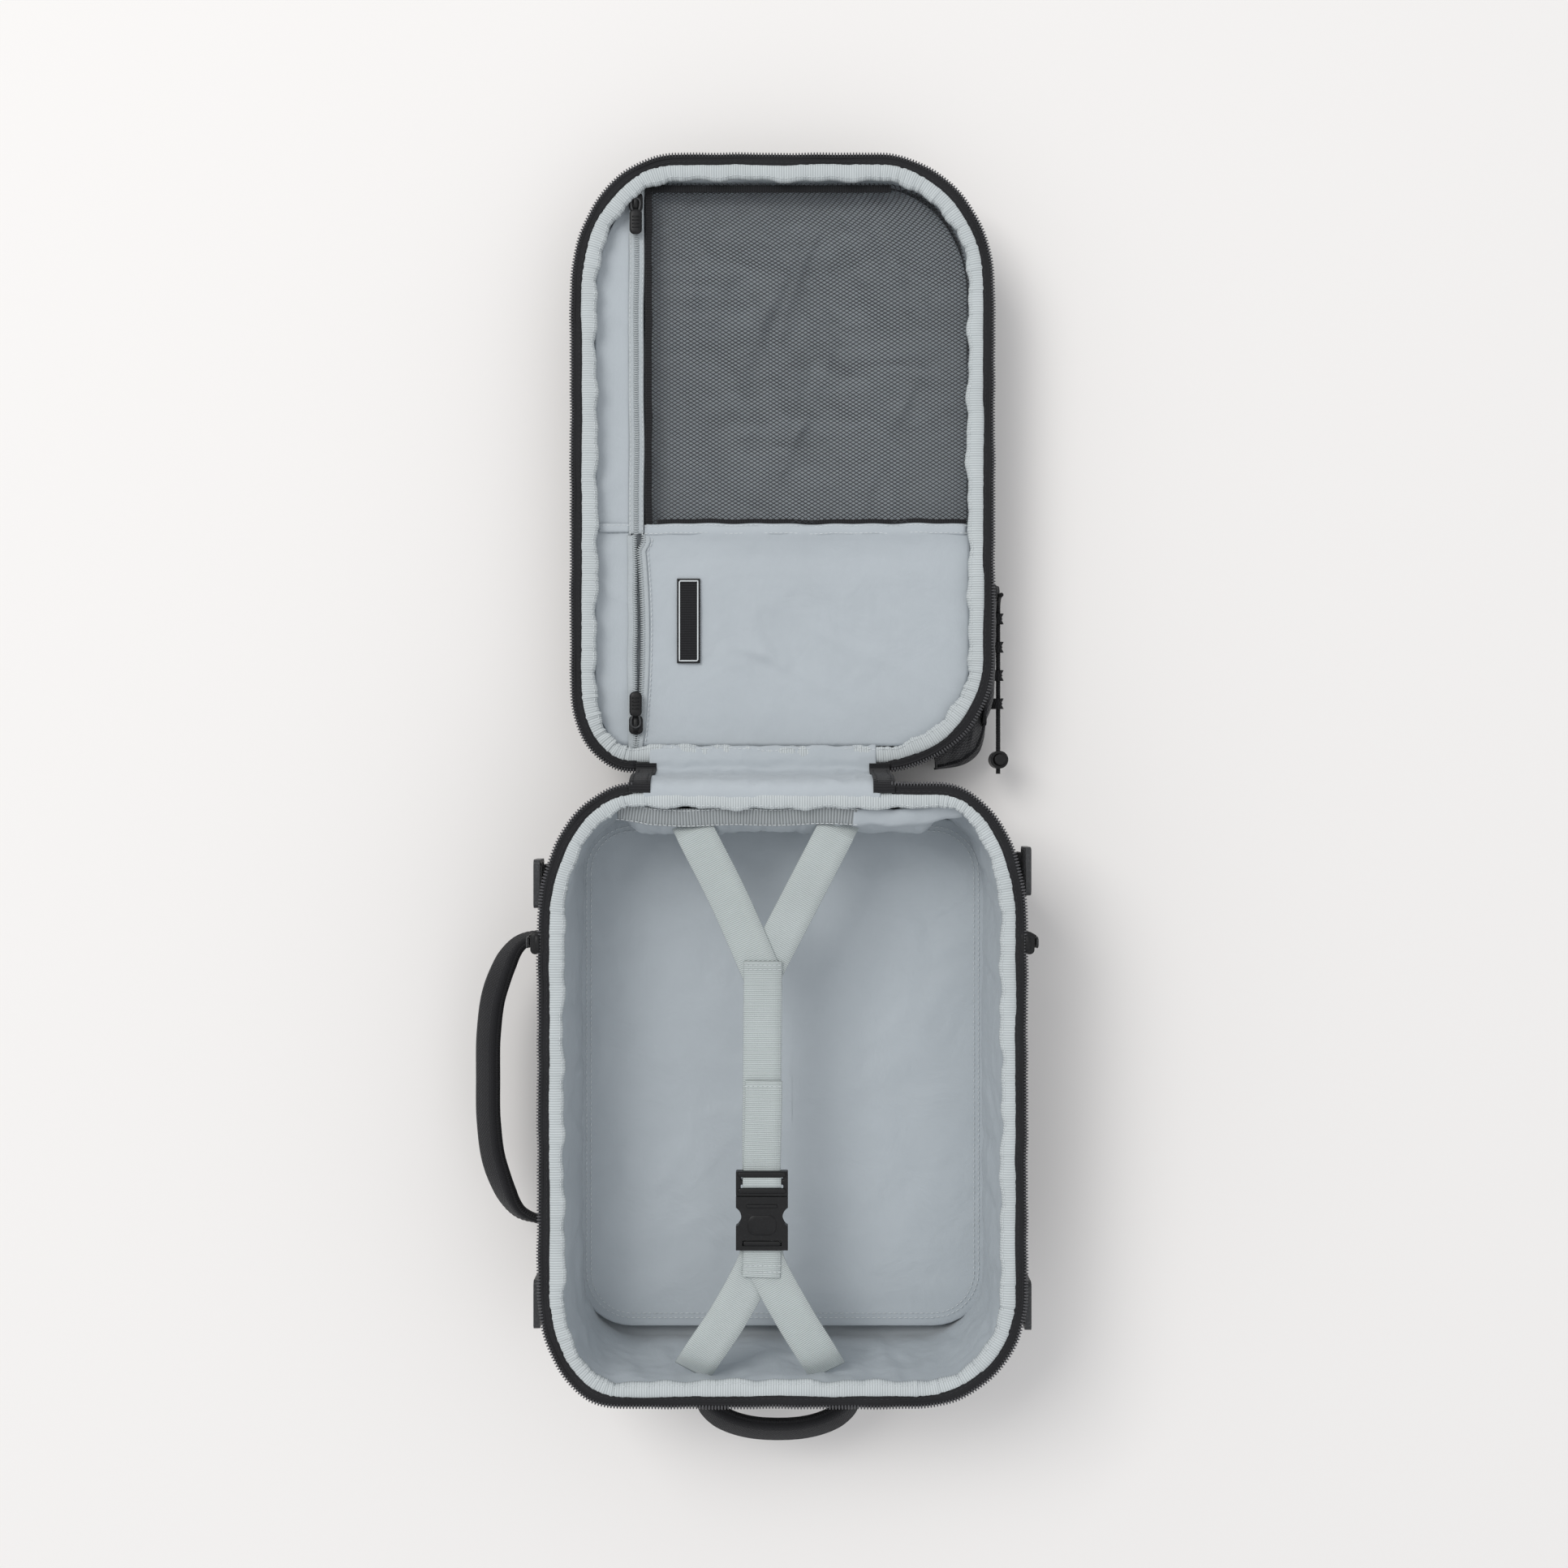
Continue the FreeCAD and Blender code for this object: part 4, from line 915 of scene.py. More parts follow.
def cushion(name, shape, low, high, material, crown=0.0, full=7.0, wrinkle=0.0, length=45, seed=1, rows=26,
            flat_under=False, side=14, channels=()):
    """A closed form inside a rounded rectangle (x, y, wide, long, radius), its faces swelling in from the edge.
    full is how boxy its side is; channels are Y values where the top or the underside is sewn down."""
    x, y, wide, long, radius = shape
    reach = min(wide, long) / 2
    shares = np.sin(np.linspace(0.03, 1, rows) * math.pi / 2)
    grid = []
    for face, run in ((-1, shares), (1, shares[::-1])):
        for share in run[(1 if face > 0 else 0):]:
            inset = (1 - share) * reach
            rise = (high - low) / 2 * max(0.0, 1 - share ** full) ** 0.5
            if face > 0:
                rise += crown * (1 - share ** 2)
            elif flat_under:
                rise = (high - low) / 2 * (1 - share ** 24) ** 0.5
            flat = rounded_edge(x, y, wide - 2 * inset, long - 2 * inset, max(radius - inset * 0.9, 0.3), side)
            grid.append(np.column_stack([flat, np.full(len(flat), (low + high) / 2 + face * rise)]))
    grid = np.array(grid)
    inner = np.clip((1 - np.concatenate([shares, shares[::-1][1:]])) * 5, 0, 1)[:, None]
    if wrinkle:
        grid[..., 2] += crumple(grid, length, wrinkle, seed) * (grid[..., 2] > (low + high) / 2) * inner
    for at in channels:
        dent = np.exp(-((grid[..., 1] - at) / 2.2) ** 2) * inner
        grid[..., 2] += (grid[..., 2] < (low + high) / 2) * dent * (high - low) * 0.28
    return skin(name, grid, material, round_=True, caps=True)


def put(piece, origin, across=(1, 0, 0), along=(0, 1, 0), up=(0, 0, 1)):
    """Moves a piece made round the origin to a place and direction. Lengths in millimetres."""
    turn = Matrix((across, along, up)).transposed().to_4x4()
    piece.data.transform(Matrix.Translation(Vector(origin) * MM) @ turn)
    return piece


def refined(node, material, body, ease=0.5, segments=2):
    """A moulded piece made from its CAD solid, with its edges eased."""
    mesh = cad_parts[node].data.copy()
    work = bmesh.new()
    work.from_mesh(mesh)
    bmesh.ops.remove_doubles(work, verts=work.verts, dist=2e-6)
    bmesh.ops.dissolve_limit(work, angle_limit=math.radians(2), verts=work.verts, edges=work.edges)
    work.to_mesh(mesh)
    work.free()
    mesh.materials.clear()
    mesh.materials.append(material)
    piece = bpy.data.objects.new(node + "_moulded", mesh)
    bpy.context.collection.objects.link(piece)
    made = piece.modifiers.new("Eased", "BEVEL")
    made.width = ease * MM
    made.segments = segments
    made.limit_method = "ANGLE"
    made.angle_limit = math.radians(35)
    mesh.shade_smooth()
    mesh.set_sharp_from_angle(angle=math.radians(40))
    return own(piece, body, [node])


def strap(name, points, wide, thick, material, body, nodes=(), up=UP, crown=0.0, count=70, edges=None,
          scale=None):
    """A flat strap along a smooth line, with a row of stitches along each edge when a thread is given."""
    path = curve_points(points, count)
    piece = own(sweep(name, path, flat_section(wide, thick, crown), material, up=up, scale=scale), body, nodes)
    if edges:
        side, ups = frame_of(path, up)
        for k, sign in enumerate((-1, 1)):
            line = path + side * sign * (wide / 2 - 1.9) + ups * (thick / 2 + 0.15)
            own(row(f"{name}_seam_{k}", line, STITCH, 3.2, edges), body)
    return piece


def stitch_lines(name, lines, material, body, pitch=3.0):
    for k, line in enumerate(lines):
        own(row(f"{name}_{k}", np.asarray(line, float), STITCH, pitch, material), body)


# ---------------------------------------------------------------- inside the main half

def end_pocket():
    """The gathered pocket across the hinge end, its ribbed elastic band and its folded hem."""
    low, high, mid = span("end_pocket_panel")
    xs = np.linspace(low[0] - 6, high[0] + 6, 260)
    zs = np.linspace(low[2], high[2] - 6.4, 36)
    rise = ((zs - zs[0]) / (zs[-1] - zs[0]))[:, None]
    pull = np.clip((55 - xs) / 20, 0, 1)[None]
    x, z = np.meshgrid(xs, zs)
    near_end = np.clip((np.abs(xs) - 88) / 26, 0, 1)[None]
    near_end = near_end * near_end * (3 - 2 * near_end)
    sag = 9.5 * np.sin(np.pi * rise ** 1.8) * (1 - near_end)
    gather = ripple(xs, (19, 11, 7.5), 1.8, 5)[None] * rise ** 2 * (0.25 + 0.75 * pull)
    y = mid[1] + 1.5 - 1.8 * rise ** 3 - sag + gather
    y = y + ripple(xs, (95, 52, 31), 2.6, 6)[None] * np.sin(np.pi * rise ** 1.8) + 9.0 * near_end
    y = y + crumple(np.stack([x, y, z], axis=2), 40, 1.8, 8)
    sheet = skin("end_pocket_sheet", np.stack([x, y, z], axis=2), LINING)
    own(solid(sheet, 0.9, 0.0), "main", ["end_pocket_panel"])
    e_low, e_high, e_mid = span("end_pocket_elastic")
    bx = np.linspace(e_low[0] - 1, e_high[0], 110)
    band = np.column_stack([bx, e_mid[1] + 5.0 + ripple(bx, (150, 60), 1.3, 3) + 3.0 * np.clip((-bx - 85) / 18, 0, 1),
                            e_high[2] - 2.6 + ripple(bx, (70, 31), 0.9, 4)])
    lean = (0.0, -0.42, 0.9)
    own(sweep("end_pocket_band", band, flat_section(13.0, 1.8), ELASTIC, up=lean), "main", ["end_pocket_elastic"])
    side, ups = frame_of(band, lean)
    stitch_lines("end_pocket_band_seam", [band + side * k + ups * 1.1 for k in (-5.4, 5.4)], THREAD, "main")
    fx = np.linspace(e_high[0] - 2, high[0] + 5, 60)
    ease = np.clip((fx - 80) / 34, 0, 1)
    fold = np.column_stack([fx, e_mid[1] + 4.6 + ripple(fx, (40, 22), 1.2, 9) + 6.5 * ease ** 1.5,
                            e_high[2] - 4.2 + ripple(fx, (35, 18), 1.0, 10)])
    own(sweep("end_pocket_fold", fold, flat_section(12.5, 2.4, 0.8), LINING, up=lean), "main")


DIVIDER_CORNER = 37


def divider():
    """The padded panel that lies over the laptop sleeve, quilted along its border."""
    low, high, mid = span("laptop_divider")
    shape = (mid[0], mid[1] - 1.5, high[0] - low[0] + 1, high[1] - low[1] + 3, DIVIDER_CORNER)
    pad = cushion("laptop_divider_pad", shape, low[2], high[2], LINING, crown=1.4, full=14, wrinkle=2.2, length=95,
                  seed=33, rows=44, side=44)
    own(pad, "main", ["laptop_divider"])
    for k, inset in enumerate((6.0, 9.0)):
        line = rounded_edge(mid[0], mid[1] - 1.5, high[0] - low[0] - 2 * inset, high[1] - low[1] + 3 - 2 * inset,
                            DIVIDER_CORNER - inset)
        path = np.column_stack([line, np.full(len(line), high[2] + 0.35)])
        own(row(f"divider_border_{k}", path, STITCH, 3.6, THREAD, closed=True), "main")


PACK_WIDE = 25.0
PACK_THICK = 1.6
FRONT_CORNER = 42


def packing():
    """The packing straps: two meet at each end and the buckle joins them in the middle."""
    high = span("pack_straps")[1]
    b_low, _, b_mid = span("buckle_socket")
    p_mid = span("buckle_plug")[2]
    cx = b_mid[0]
    z = high[2] - 2.4
    strap("strap_upper_left", [(-63, 180, z - 22), (-60.5, 175, z - 12), (-57, 168.5, z - 5.0), (-53, 160.5, z - 2.2),
                               (-33.5, 122, z - 0.6), (cx + 2.0, 71, z - 0.3)], PACK_WIDE, PACK_THICK, WEBBING,
          "main", ["pack_straps"])
    strap("strap_upper_right", [(41, 180, z - 22), (38.5, 175, z - 12), (35, 168.5, z - 5.0), (31, 160.5, z - 2.6),
                                (11, 122, z - 1.7), (cx - 2.0, 72, z - 2.0)], PACK_WIDE, PACK_THICK, WEBBING, "main")
    strap("strap_centre", [(cx + 0.6, 84, z + 1.2), (cx + 0.3, 40, z + 0.6), (cx, 0, z), (cx - 0.4, -38, z - 0.5),
                           (cx, p_mid[1] + 2, z - 0.3)], 24.5, 1.5, WEBBING, "main")
    strap("strap_fold_back", [(cx + 1.2, 8, z + 2.1), (cx + 0.8, -16, z + 2.0), (cx + 0.2, -40, z + 1.5),
                              (cx, p_mid[1] + 3, z + 1.8)], 23.6, 1.4, WEBBING, "plug")
    strap("strap_lower_left", [(cx - 0.5, b_low[1] + 6, z - 1.0), (cx - 4, -110, z - 1.4), (-34, -142, z - 2.2),
                               (-51, -168, z - 4.5), (-58, -181, z - 14)], PACK_WIDE, PACK_THICK, WEBBING, "main")
    strap("strap_lower_right", [(cx + 0.5, b_low[1] + 5, z + 0.4), (cx + 3, -110, z + 0.2), (7, -142, z - 0.8),
                                (22, -167, z - 4.0), (29, -181, z - 14)], PACK_WIDE, PACK_THICK, WEBBING, "main")
    strap("strap_lower_cap", [(cx, b_low[1] + 4, z + 1.9), (cx, -104, z + 1.9), (cx - 0.5, -117, z + 1.7)], 24, 1.4,
          WEBBING, "main")
    across = np.linspace(-10.5, 10.5, 12)
    lines = []
    for y, lift in ((81.5, 2.2), (78.8, 2.2), (-109.5, 2.75), (-113.5, 2.75), (4.5, 3.1)):
        lines.append(np.column_stack([cx + 0.6 + across, np.full(12, y), np.full(12, z + lift)]))
    stitch_lines("strap_bar", lines[:4], THREAD, "main", 2.7)
    stitch_lines("fold_bar", lines[4:], THREAD, "plug", 2.7)


def buckle():
    refined("buckle_socket", PLASTIC, "main", 0.9, 3)
    refined("buckle_plug", PLASTIC, "plug", 0.6)
    refined("buckle_arm_left", PLASTIC, "arm_left", 0.5)
    refined("buckle_arm_right", PLASTIC, "arm_right", 0.5)
    low, high, mid = span("buckle_socket")
    wide = high[0] - low[0]
    for k, (y, long, across) in enumerate(((low[1] + 4.5, 3.0, wide * 0.72), (high[1] - 6.0, 2.4, wide * 0.6))):
        ridge = cushion(f"socket_ridge_{k}", (mid[0], y, across, long, long / 2.2), high[2] - 0.8, high[2] + 0.7,
                        PLASTIC, crown=0.2, full=4, rows=8)
        own(ridge, "main")
    panel_top = cushion("socket_face", (mid[0], mid[1] - 1, wide * 0.56, 13, 5), high[2] - 0.8, high[2] + 0.55,
                        PLASTIC, crown=0.25, full=6, rows=10)
    own(panel_top, "main")
    p_low, p_high, p_mid = span("buckle_plug")
    strap("plug_strap_loop", [(p_mid[0], p_high[1] - 3.0, p_high[2] - 2.6),
                              (p_mid[0], p_high[1] - 5.0, p_high[2] + 0.3),
                              (p_mid[0], p_high[1] - 8.6, p_high[2] + 0.5),
                              (p_mid[0], p_high[1] - 10.8, p_high[2] - 2.4)], 24.4, 1.3, WEBBING, "plug", (),
          count=30)
    for k, y in enumerate((p_high[1] - 1.9, p_high[1] - 12.2)):
        bar = cushion(f"plug_bar_{k}", (p_mid[0], y, (p_high[0] - p_low[0]) * 0.94, 3.6, 1.7), p_high[2] - 1.2,
                      p_high[2] + 0.6, PLASTIC, crown=0.2, full=4, rows=8)
        own(bar, "plug")


# ---------------------------------------------------------------- handles and webbing on the main half

def grip(name, points, thick, high_, node, count=120):
    """A padded handle that bows out from the wall, with piped edges and rows of stitching."""
    path = curve_points(points, count)
    t = np.linspace(0, 1, count)
    swell = 0.62 + 0.38 * np.clip(np.sin(np.pi * np.clip((t - 0.03) / 0.94, 0, 1)) * 2.4, 0, 1)
    level, _ = frame_of(path)
    lean = np.clip(np.sin(np.pi * t) * 1.5, 0, 1)[:, None] * 1.05
    tilt = UP + level * lean
    section = [(math.copysign(abs(math.cos(a)) ** 0.7, math.cos(a)) * thick / 2,
                math.copysign(abs(math.sin(a)) ** 0.5, math.sin(a)) * high_ / 2)
               for a in np.linspace(0, 2 * math.pi, 24, endpoint=False)]
    pad = sweep(name + "_pad", path, section, GRIP, up=tilt, scale=swell)
    side, ups = frame_of(path, tilt)
    ups = ups / np.linalg.norm(ups, axis=1, keepdims=True)
    pieces = [(pad, True)]
    for k, sign in enumerate((-1, 1)):
        rim = path + ups * (sign * high_ * 0.47 * swell)[:, None]
        pieces.append((sweep(f"{name}_piping_{k}", rim, round_section(2.2, 2.2, 8), DARK_WEBBING), False))
        face = path + ups * (sign * high_ * 0.3 * swell)[:, None] - side * (thick * 0.47 * swell)[:, None]
        pieces.append((row(f"{name}_stitches_{k}", face, STITCH, 3.2, DARK_THREAD), False))
    for piece, first in pieces:
        if first:
            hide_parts(node)
        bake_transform(piece)


def handles():
    low, high, mid = span("side_handle")
    z = mid[2]
    grip("side_grip", [(high[0] + 3, high[1] + 3, z), (low[0] + 22, high[1] - 6, z), (low[0] + 8, high[1] - 34, z),
                       (low[0] + 3.4, mid[1] + 30, z), (low[0] + 2.9, mid[1], z), (low[0] + 3.4, mid[1] - 30, z),
                       (low[0] + 8, low[1] + 34, z), (low[0] + 22, low[1] + 6, z), (high[0] + 3, low[1] - 3, z)], 9.2,
         20, "side_handle")
    t_low, t_high, t_mid = span("top_handle")
    grip("top_grip", [(t_low[0] - 4, t_high[1] + 4, z), (t_low[0] + 2, t_high[1] - 14, z),
                      (t_low[0] + 15, t_low[1] + 9, z), (t_mid[0] - 14, t_low[1] + 3.2, z),
                      (t_mid[0] + 14, t_low[1] + 3.2, z), (t_high[0] - 15, t_low[1] + 9, z),
                      (t_high[0] - 2, t_high[1] - 14, z), (t_high[0] + 4, t_high[1] + 4, z)], 9.2, 20,
         "top_handle", 90)
    wall_x = MAIN_LOW[0] + 4.0
    for k, (y, way) in enumerate(((high[1] + 5.6, 1), (low[1] - 5.6, -1))):
        strap(f"side_handle_tab_{k}", [(wall_x - 7, y - way * 9, z), (wall_x - 2.2, y - way * 2, z),
                                       (wall_x - 1.0, y + way * 9, z)], 16, 2.4, DARK_WEBBING, "main",
              ["handle_anchors"] if k == 0 else [], up=(-1, 0, 0), count=24, edges=DARK_THREAD)
    wall_y = MAIN_LOW[1] + 4.0
    for k, (x, way) in enumerate(((t_high[0] + 5.6, 1), (t_low[0] - 5.6, -1))):
        strap(f"top_handle_tab_{k}", [(x - way * 9, wall_y - 7, z), (x - way * 2, wall_y - 2.2, z),
                                      (x + way * 9, wall_y - 1.0, z)], 16, 2.4, DARK_WEBBING, "main", (),
              up=(0, -1, 0), count=24, edges=DARK_THREAD)


LOCKS = ("left_low", "left_high", "right_low", "right_high")


def compression():
    """The webbing tabs with their locks on the main half, and the strap ends on the lid."""
    for k, label in enumerate(LOCKS):
        node = "compression_lock_" + label
        refined(node, GREY_PLASTIC, "lock_" + label, 0.5)
        low, high, mid = span(node)
        sign = math.copysign(1, mid[0])
        x = mid[0] - sign * 4.0
        strap(f"lock_tab_{label}", [(x - sign * 1.2, mid[1], 28), (x, mid[1], 55), (x + sign * 1.2, mid[1], 80),
                                    (x + sign * 4.4, mid[1], low[2] + 5.5), (x + sign * 6.2, mid[1], low[2] + 1.4),
                                    (x + sign * 4.2, mid[1], 78), (x + sign * 2.6, mid[1], 66)], 22, 1.5,
              DARK_WEBBING, "main", ["webbing_tabs"] if k == 0 else [], up=(sign, 0, 0), count=46)
    low, high, mid = span("webbing_tabs")
    r_low, r_high, r_mid = span("anchor_rings")
    for k, sign in enumerate((-1, 1)):
        x = sign * (r_high[0] - 15)
        strap(f"ring_wing_{k}", [(x, r_low[1] + 2, r_low[2] + 1.0), (x, r_mid[1] + 3, r_high[2] + 2.0),
                                 (x, high[1] - 1, r_high[2] + 2.2)], 22, 1.8, DARK_WEBBING, "main", (),
              count=16)
    low, high, mid = span("compression_straps")
    for k, (sign, y) in enumerate(((-1, 298), (-1, 520), (1, 362), (1, 520))):
        x = sign * (LID_HIGH[0] - 3.0)
        strap(f"lid_strap_end_{k}", [(x - sign * 3, y, 13), (x, y, 24), (x + sign * 0.3, y, 38),
                                     (x - sign * 0.6, y, 51)], 24, 2.0, DARK_WEBBING, "lid",
              ["compression_straps"] if k == 0 else [], up=(sign, 0, 0), count=24, edges=DARK_THREAD)


# ---------------------------------------------------------------- hinge

def hinge():
    """The cloth strip between the halves and its two stitched end tabs."""
    def across(x0, x1, cols, lift, wave, seed):
        ends = [(0, 184, MAIN_TOP - 2.2), (0, 222, LID_TOP - 1.6)] if lift == 0 else [(0, 190, MAIN_TOP - 0.8),
                                                                                      (0, 210.5, LID_TOP + 0.9)]
        rows = curve_points([ends[0], (0, 194, MAIN_TOP - 0.8), (0, 198.5, MAIN_TOP - 5), (0, 201.0, MAIN_TOP - 18),
                             (0, 201.8, 93), (0, 202.6, LID_TOP + 12), (0, 205.5, LID_TOP + 1.6),
                             ends[1]] if lift else [ends[0], (0, 193, MAIN_TOP - 0.6), (0, 198.5, MAIN_TOP - 5),
                                                    (0, 201.0, MAIN_TOP - 18), (0, 201.8, 93),
                                                    (0, 202.6, LID_TOP + 12), (0, 206, LID_TOP + 1.2),
                                                    (0, 213, LID_TOP + 0.6), ends[1]], 54)
        xs = np.linspace(x0, x1, cols)
        grid = np.zeros((54, cols, 3))
        grid[..., 0] = xs[None]
        grid[..., 1:] = rows[:, None, 1:]
        grid[..., 1] += lift + crumple(grid, 38, wave, seed) - lift * 1.4 * np.clip((grid[..., 1] - 205) / 8, 0, 1)
        grid[..., 2] += lift * 0.6 + crumple(grid, 30, wave * 0.7, seed + 3) * np.clip((grid[..., 1] - 200) / 8, 0, 1)
        return grid

    sheet = solid(skin("hinge_cloth", across(HINGE_LOW[0] + 8, HINGE_HIGH[0] - 8, 120, 0.0, 1.5, 15), COVER), 1.1,
                  0.0)
    pieces = [(sheet, ["hinge_gusset"], "lining")]
    for k, (a, b) in enumerate(((HINGE_LOW[0] - 1, HINGE_LOW[0] + 12.5), (HINGE_HIGH[0] - 12.5, HINGE_HIGH[0] + 1))):
        tab = solid(skin(f"hinge_end_{k}", across(a, b, 14, 1.0, 0.5, 21 + k), DARK_WEBBING), 1.2, 0.0)
        pieces.append((tab, ["hinge_tabs"] if k == 0 else [], "black_webbing"))
        for j, x in enumerate((a + 2.2, b - 2.2)):
            line = across(x, x + 0.1, 2, 1.0, 0.5, 21 + k)[6:-6, 0] + np.array([0, 0.6, 0.9])
            pieces.append((row(f"hinge_end_stitches_{k}_{j}", line, STITCH, 3.2, DARK_THREAD), [], "black_webbing"))
    for piece, nodes, slot in pieces:
        if piece.modifiers:
            done = bpy.data.meshes.new_from_object(piece.evaluated_get(bpy.context.evaluated_depsgraph_get()))
            piece.modifiers.clear()
            piece.data = done
        if nodes:
            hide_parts(*nodes)
        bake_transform(piece)


# ---------------------------------------------------------------- sliders and pulls

def slider_parts(name, long, wide, high, material):
    """A slider round the origin, running along Y.

    It has two plates, the wedge between them and the bridge that holds the pull.
    """
    edge = (0, 0, wide, long, wide * 0.34)
    return [cushion(name + "_under", edge, -high / 2, -high / 2 + 1.3, material, full=6, rows=9),
            cushion(name + "_over", edge, high / 2 - 1.6, high / 2 - 0.2, material, crown=0.25, full=5, rows=11),
            cushion(name + "_wedge", (0, long * 0.2, wide * 0.34, long * 0.5, wide * 0.14), -high / 2 + 0.6,
                    high / 2 - 0.8, material, full=10, rows=7),
            sweep(name + "_bridge", curve_points([(0, -long * 0.4, high / 2 - 0.6), (0, -long * 0.27, high / 2 + 0.7),
                                                  (0, 0, high / 2 + 1.2), (0, long * 0.27, high / 2 + 0.7),
                                                  (0, long * 0.4, high / 2 - 0.6)], 26),
                  flat_section(wide * 0.34, 1.1, 0.2), material)]


def pull_parts(name, long, wide, thick, material, tab):
    """A pull that hangs from the origin towards -Y: a wire loop and a moulded tab on it."""
    w = wide * 0.33
    loop = curve_points([(0, 0.8, 0), (w, -0.8, 0), (w * 1.05, -long * 0.2, 0), (w * 0.5, -long * 0.36, 0),
                         (-w * 0.5, -long * 0.36, 0), (-w * 1.05, -long * 0.2, 0), (-w, -0.8, 0)], 64, closed=True)
    body = (0, -long * 0.63, wide, long * 0.72, wide * 0.42)
    parts = [sweep(name + "_loop", loop, round_section(1.3, 1.3, 10), material, ring=True),
             cushion(name + "_tab", body, -thick / 2, thick / 2, tab, crown=0.15, full=3.2, rows=12)]
    for k, share in enumerate((0.5, 0.6, 0.7, 0.8)):
        parts.append(sweep(f"{name}_rib_{k}", [(-wide * 0.28, -long * share, thick / 2),
                                               (0, -long * share, thick / 2 + 0.15),
                                               (wide * 0.28, -long * share, thick / 2)], round_section(1.1, 0.7, 8),
                           tab))
    return parts


def set_down(name, parts, node, body, origin, across, along, up):
    piece = joined(name, [put(part, origin, across, along, up) for part in parts])
    return own(piece, body, [node] if node else [])


def sliders():
    _, high, mid = span("main_sliders")
    for k, sign in enumerate((-1, 1)):
        x = sign * (high[0] - 3.6)
        set_down(f"main_slider_{k}", slider_parts(f"ms{k}", 14, 9.0, 6.0, PLASTIC),
                 "main_sliders" if k == 0 else None, "main", (x - sign * 1.2, mid[1], mid[2] + 0.4),
                 (1, 0, 0), (0, 1, 0), (0, 0, 1))
        node = "main_pull_left" if sign < 0 else "main_pull_right"
        p_low, p_high, p_mid = span(node)
        set_down(node + "_moulded", pull_parts(f"mp{k}", 30, 8.4, 2.2, GREY_PLASTIC, PLASTIC), node,
                 "pull_left" if sign < 0 else "pull_right", (p_mid[0], p_mid[1], p_high[2] - 0.6),
                 (0, sign, 0), (0, 0, 1), (sign, 0, 0))
    for name, way in (("mesh", 1), ("lower", -1)):
        s_mid = span(name + "_slider")[2]
        p_low, p_high, p_mid = span(name + "_pull")
        set_down(name + "_slider_moulded", slider_parts(name + "_s", 12.6, 9.2, 5.2, PLASTIC), name + "_slider",
                 name + "_runner", tuple(s_mid), (way, 0, 0), (0, way, 0), (0, 0, 1))
        at = p_high[1] - 0.8 if way > 0 else p_low[1] + 0.8
        set_down(name + "_pull_moulded", pull_parts(name + "_p", p_high[1] - p_low[1] - 2.5, 8.2, 2.2, GREY_PLASTIC,
                                                    PLASTIC), name + "_pull", name + "_tab",
                 (p_mid[0], at, p_mid[2]), (way, 0, 0), (0, way, 0), (0, 0, 1))
    s_mid = span("front_slider")[2]
    p_low, p_high, p_mid = span("front_pull")
    set_down("front_slider_moulded", slider_parts("front_s", 9.4, 9.2, 4.4, GREY_PLASTIC), "front_slider",
             "front_runner", tuple(s_mid), (0, 0, 1), (-1, 0, 0), (0, 1, 0))
    set_down("front_pull_moulded", pull_parts("front_p", 23, 6.2, 2.0, GREY_PLASTIC, PLASTIC), "front_pull",
             "front_tab", (p_low[0] + 0.8, p_mid[1], p_mid[2]), (0, 0, 1), (-1, 0, 0), (0, 1, 0))


# ---------------------------------------------------------------- underside of the main half

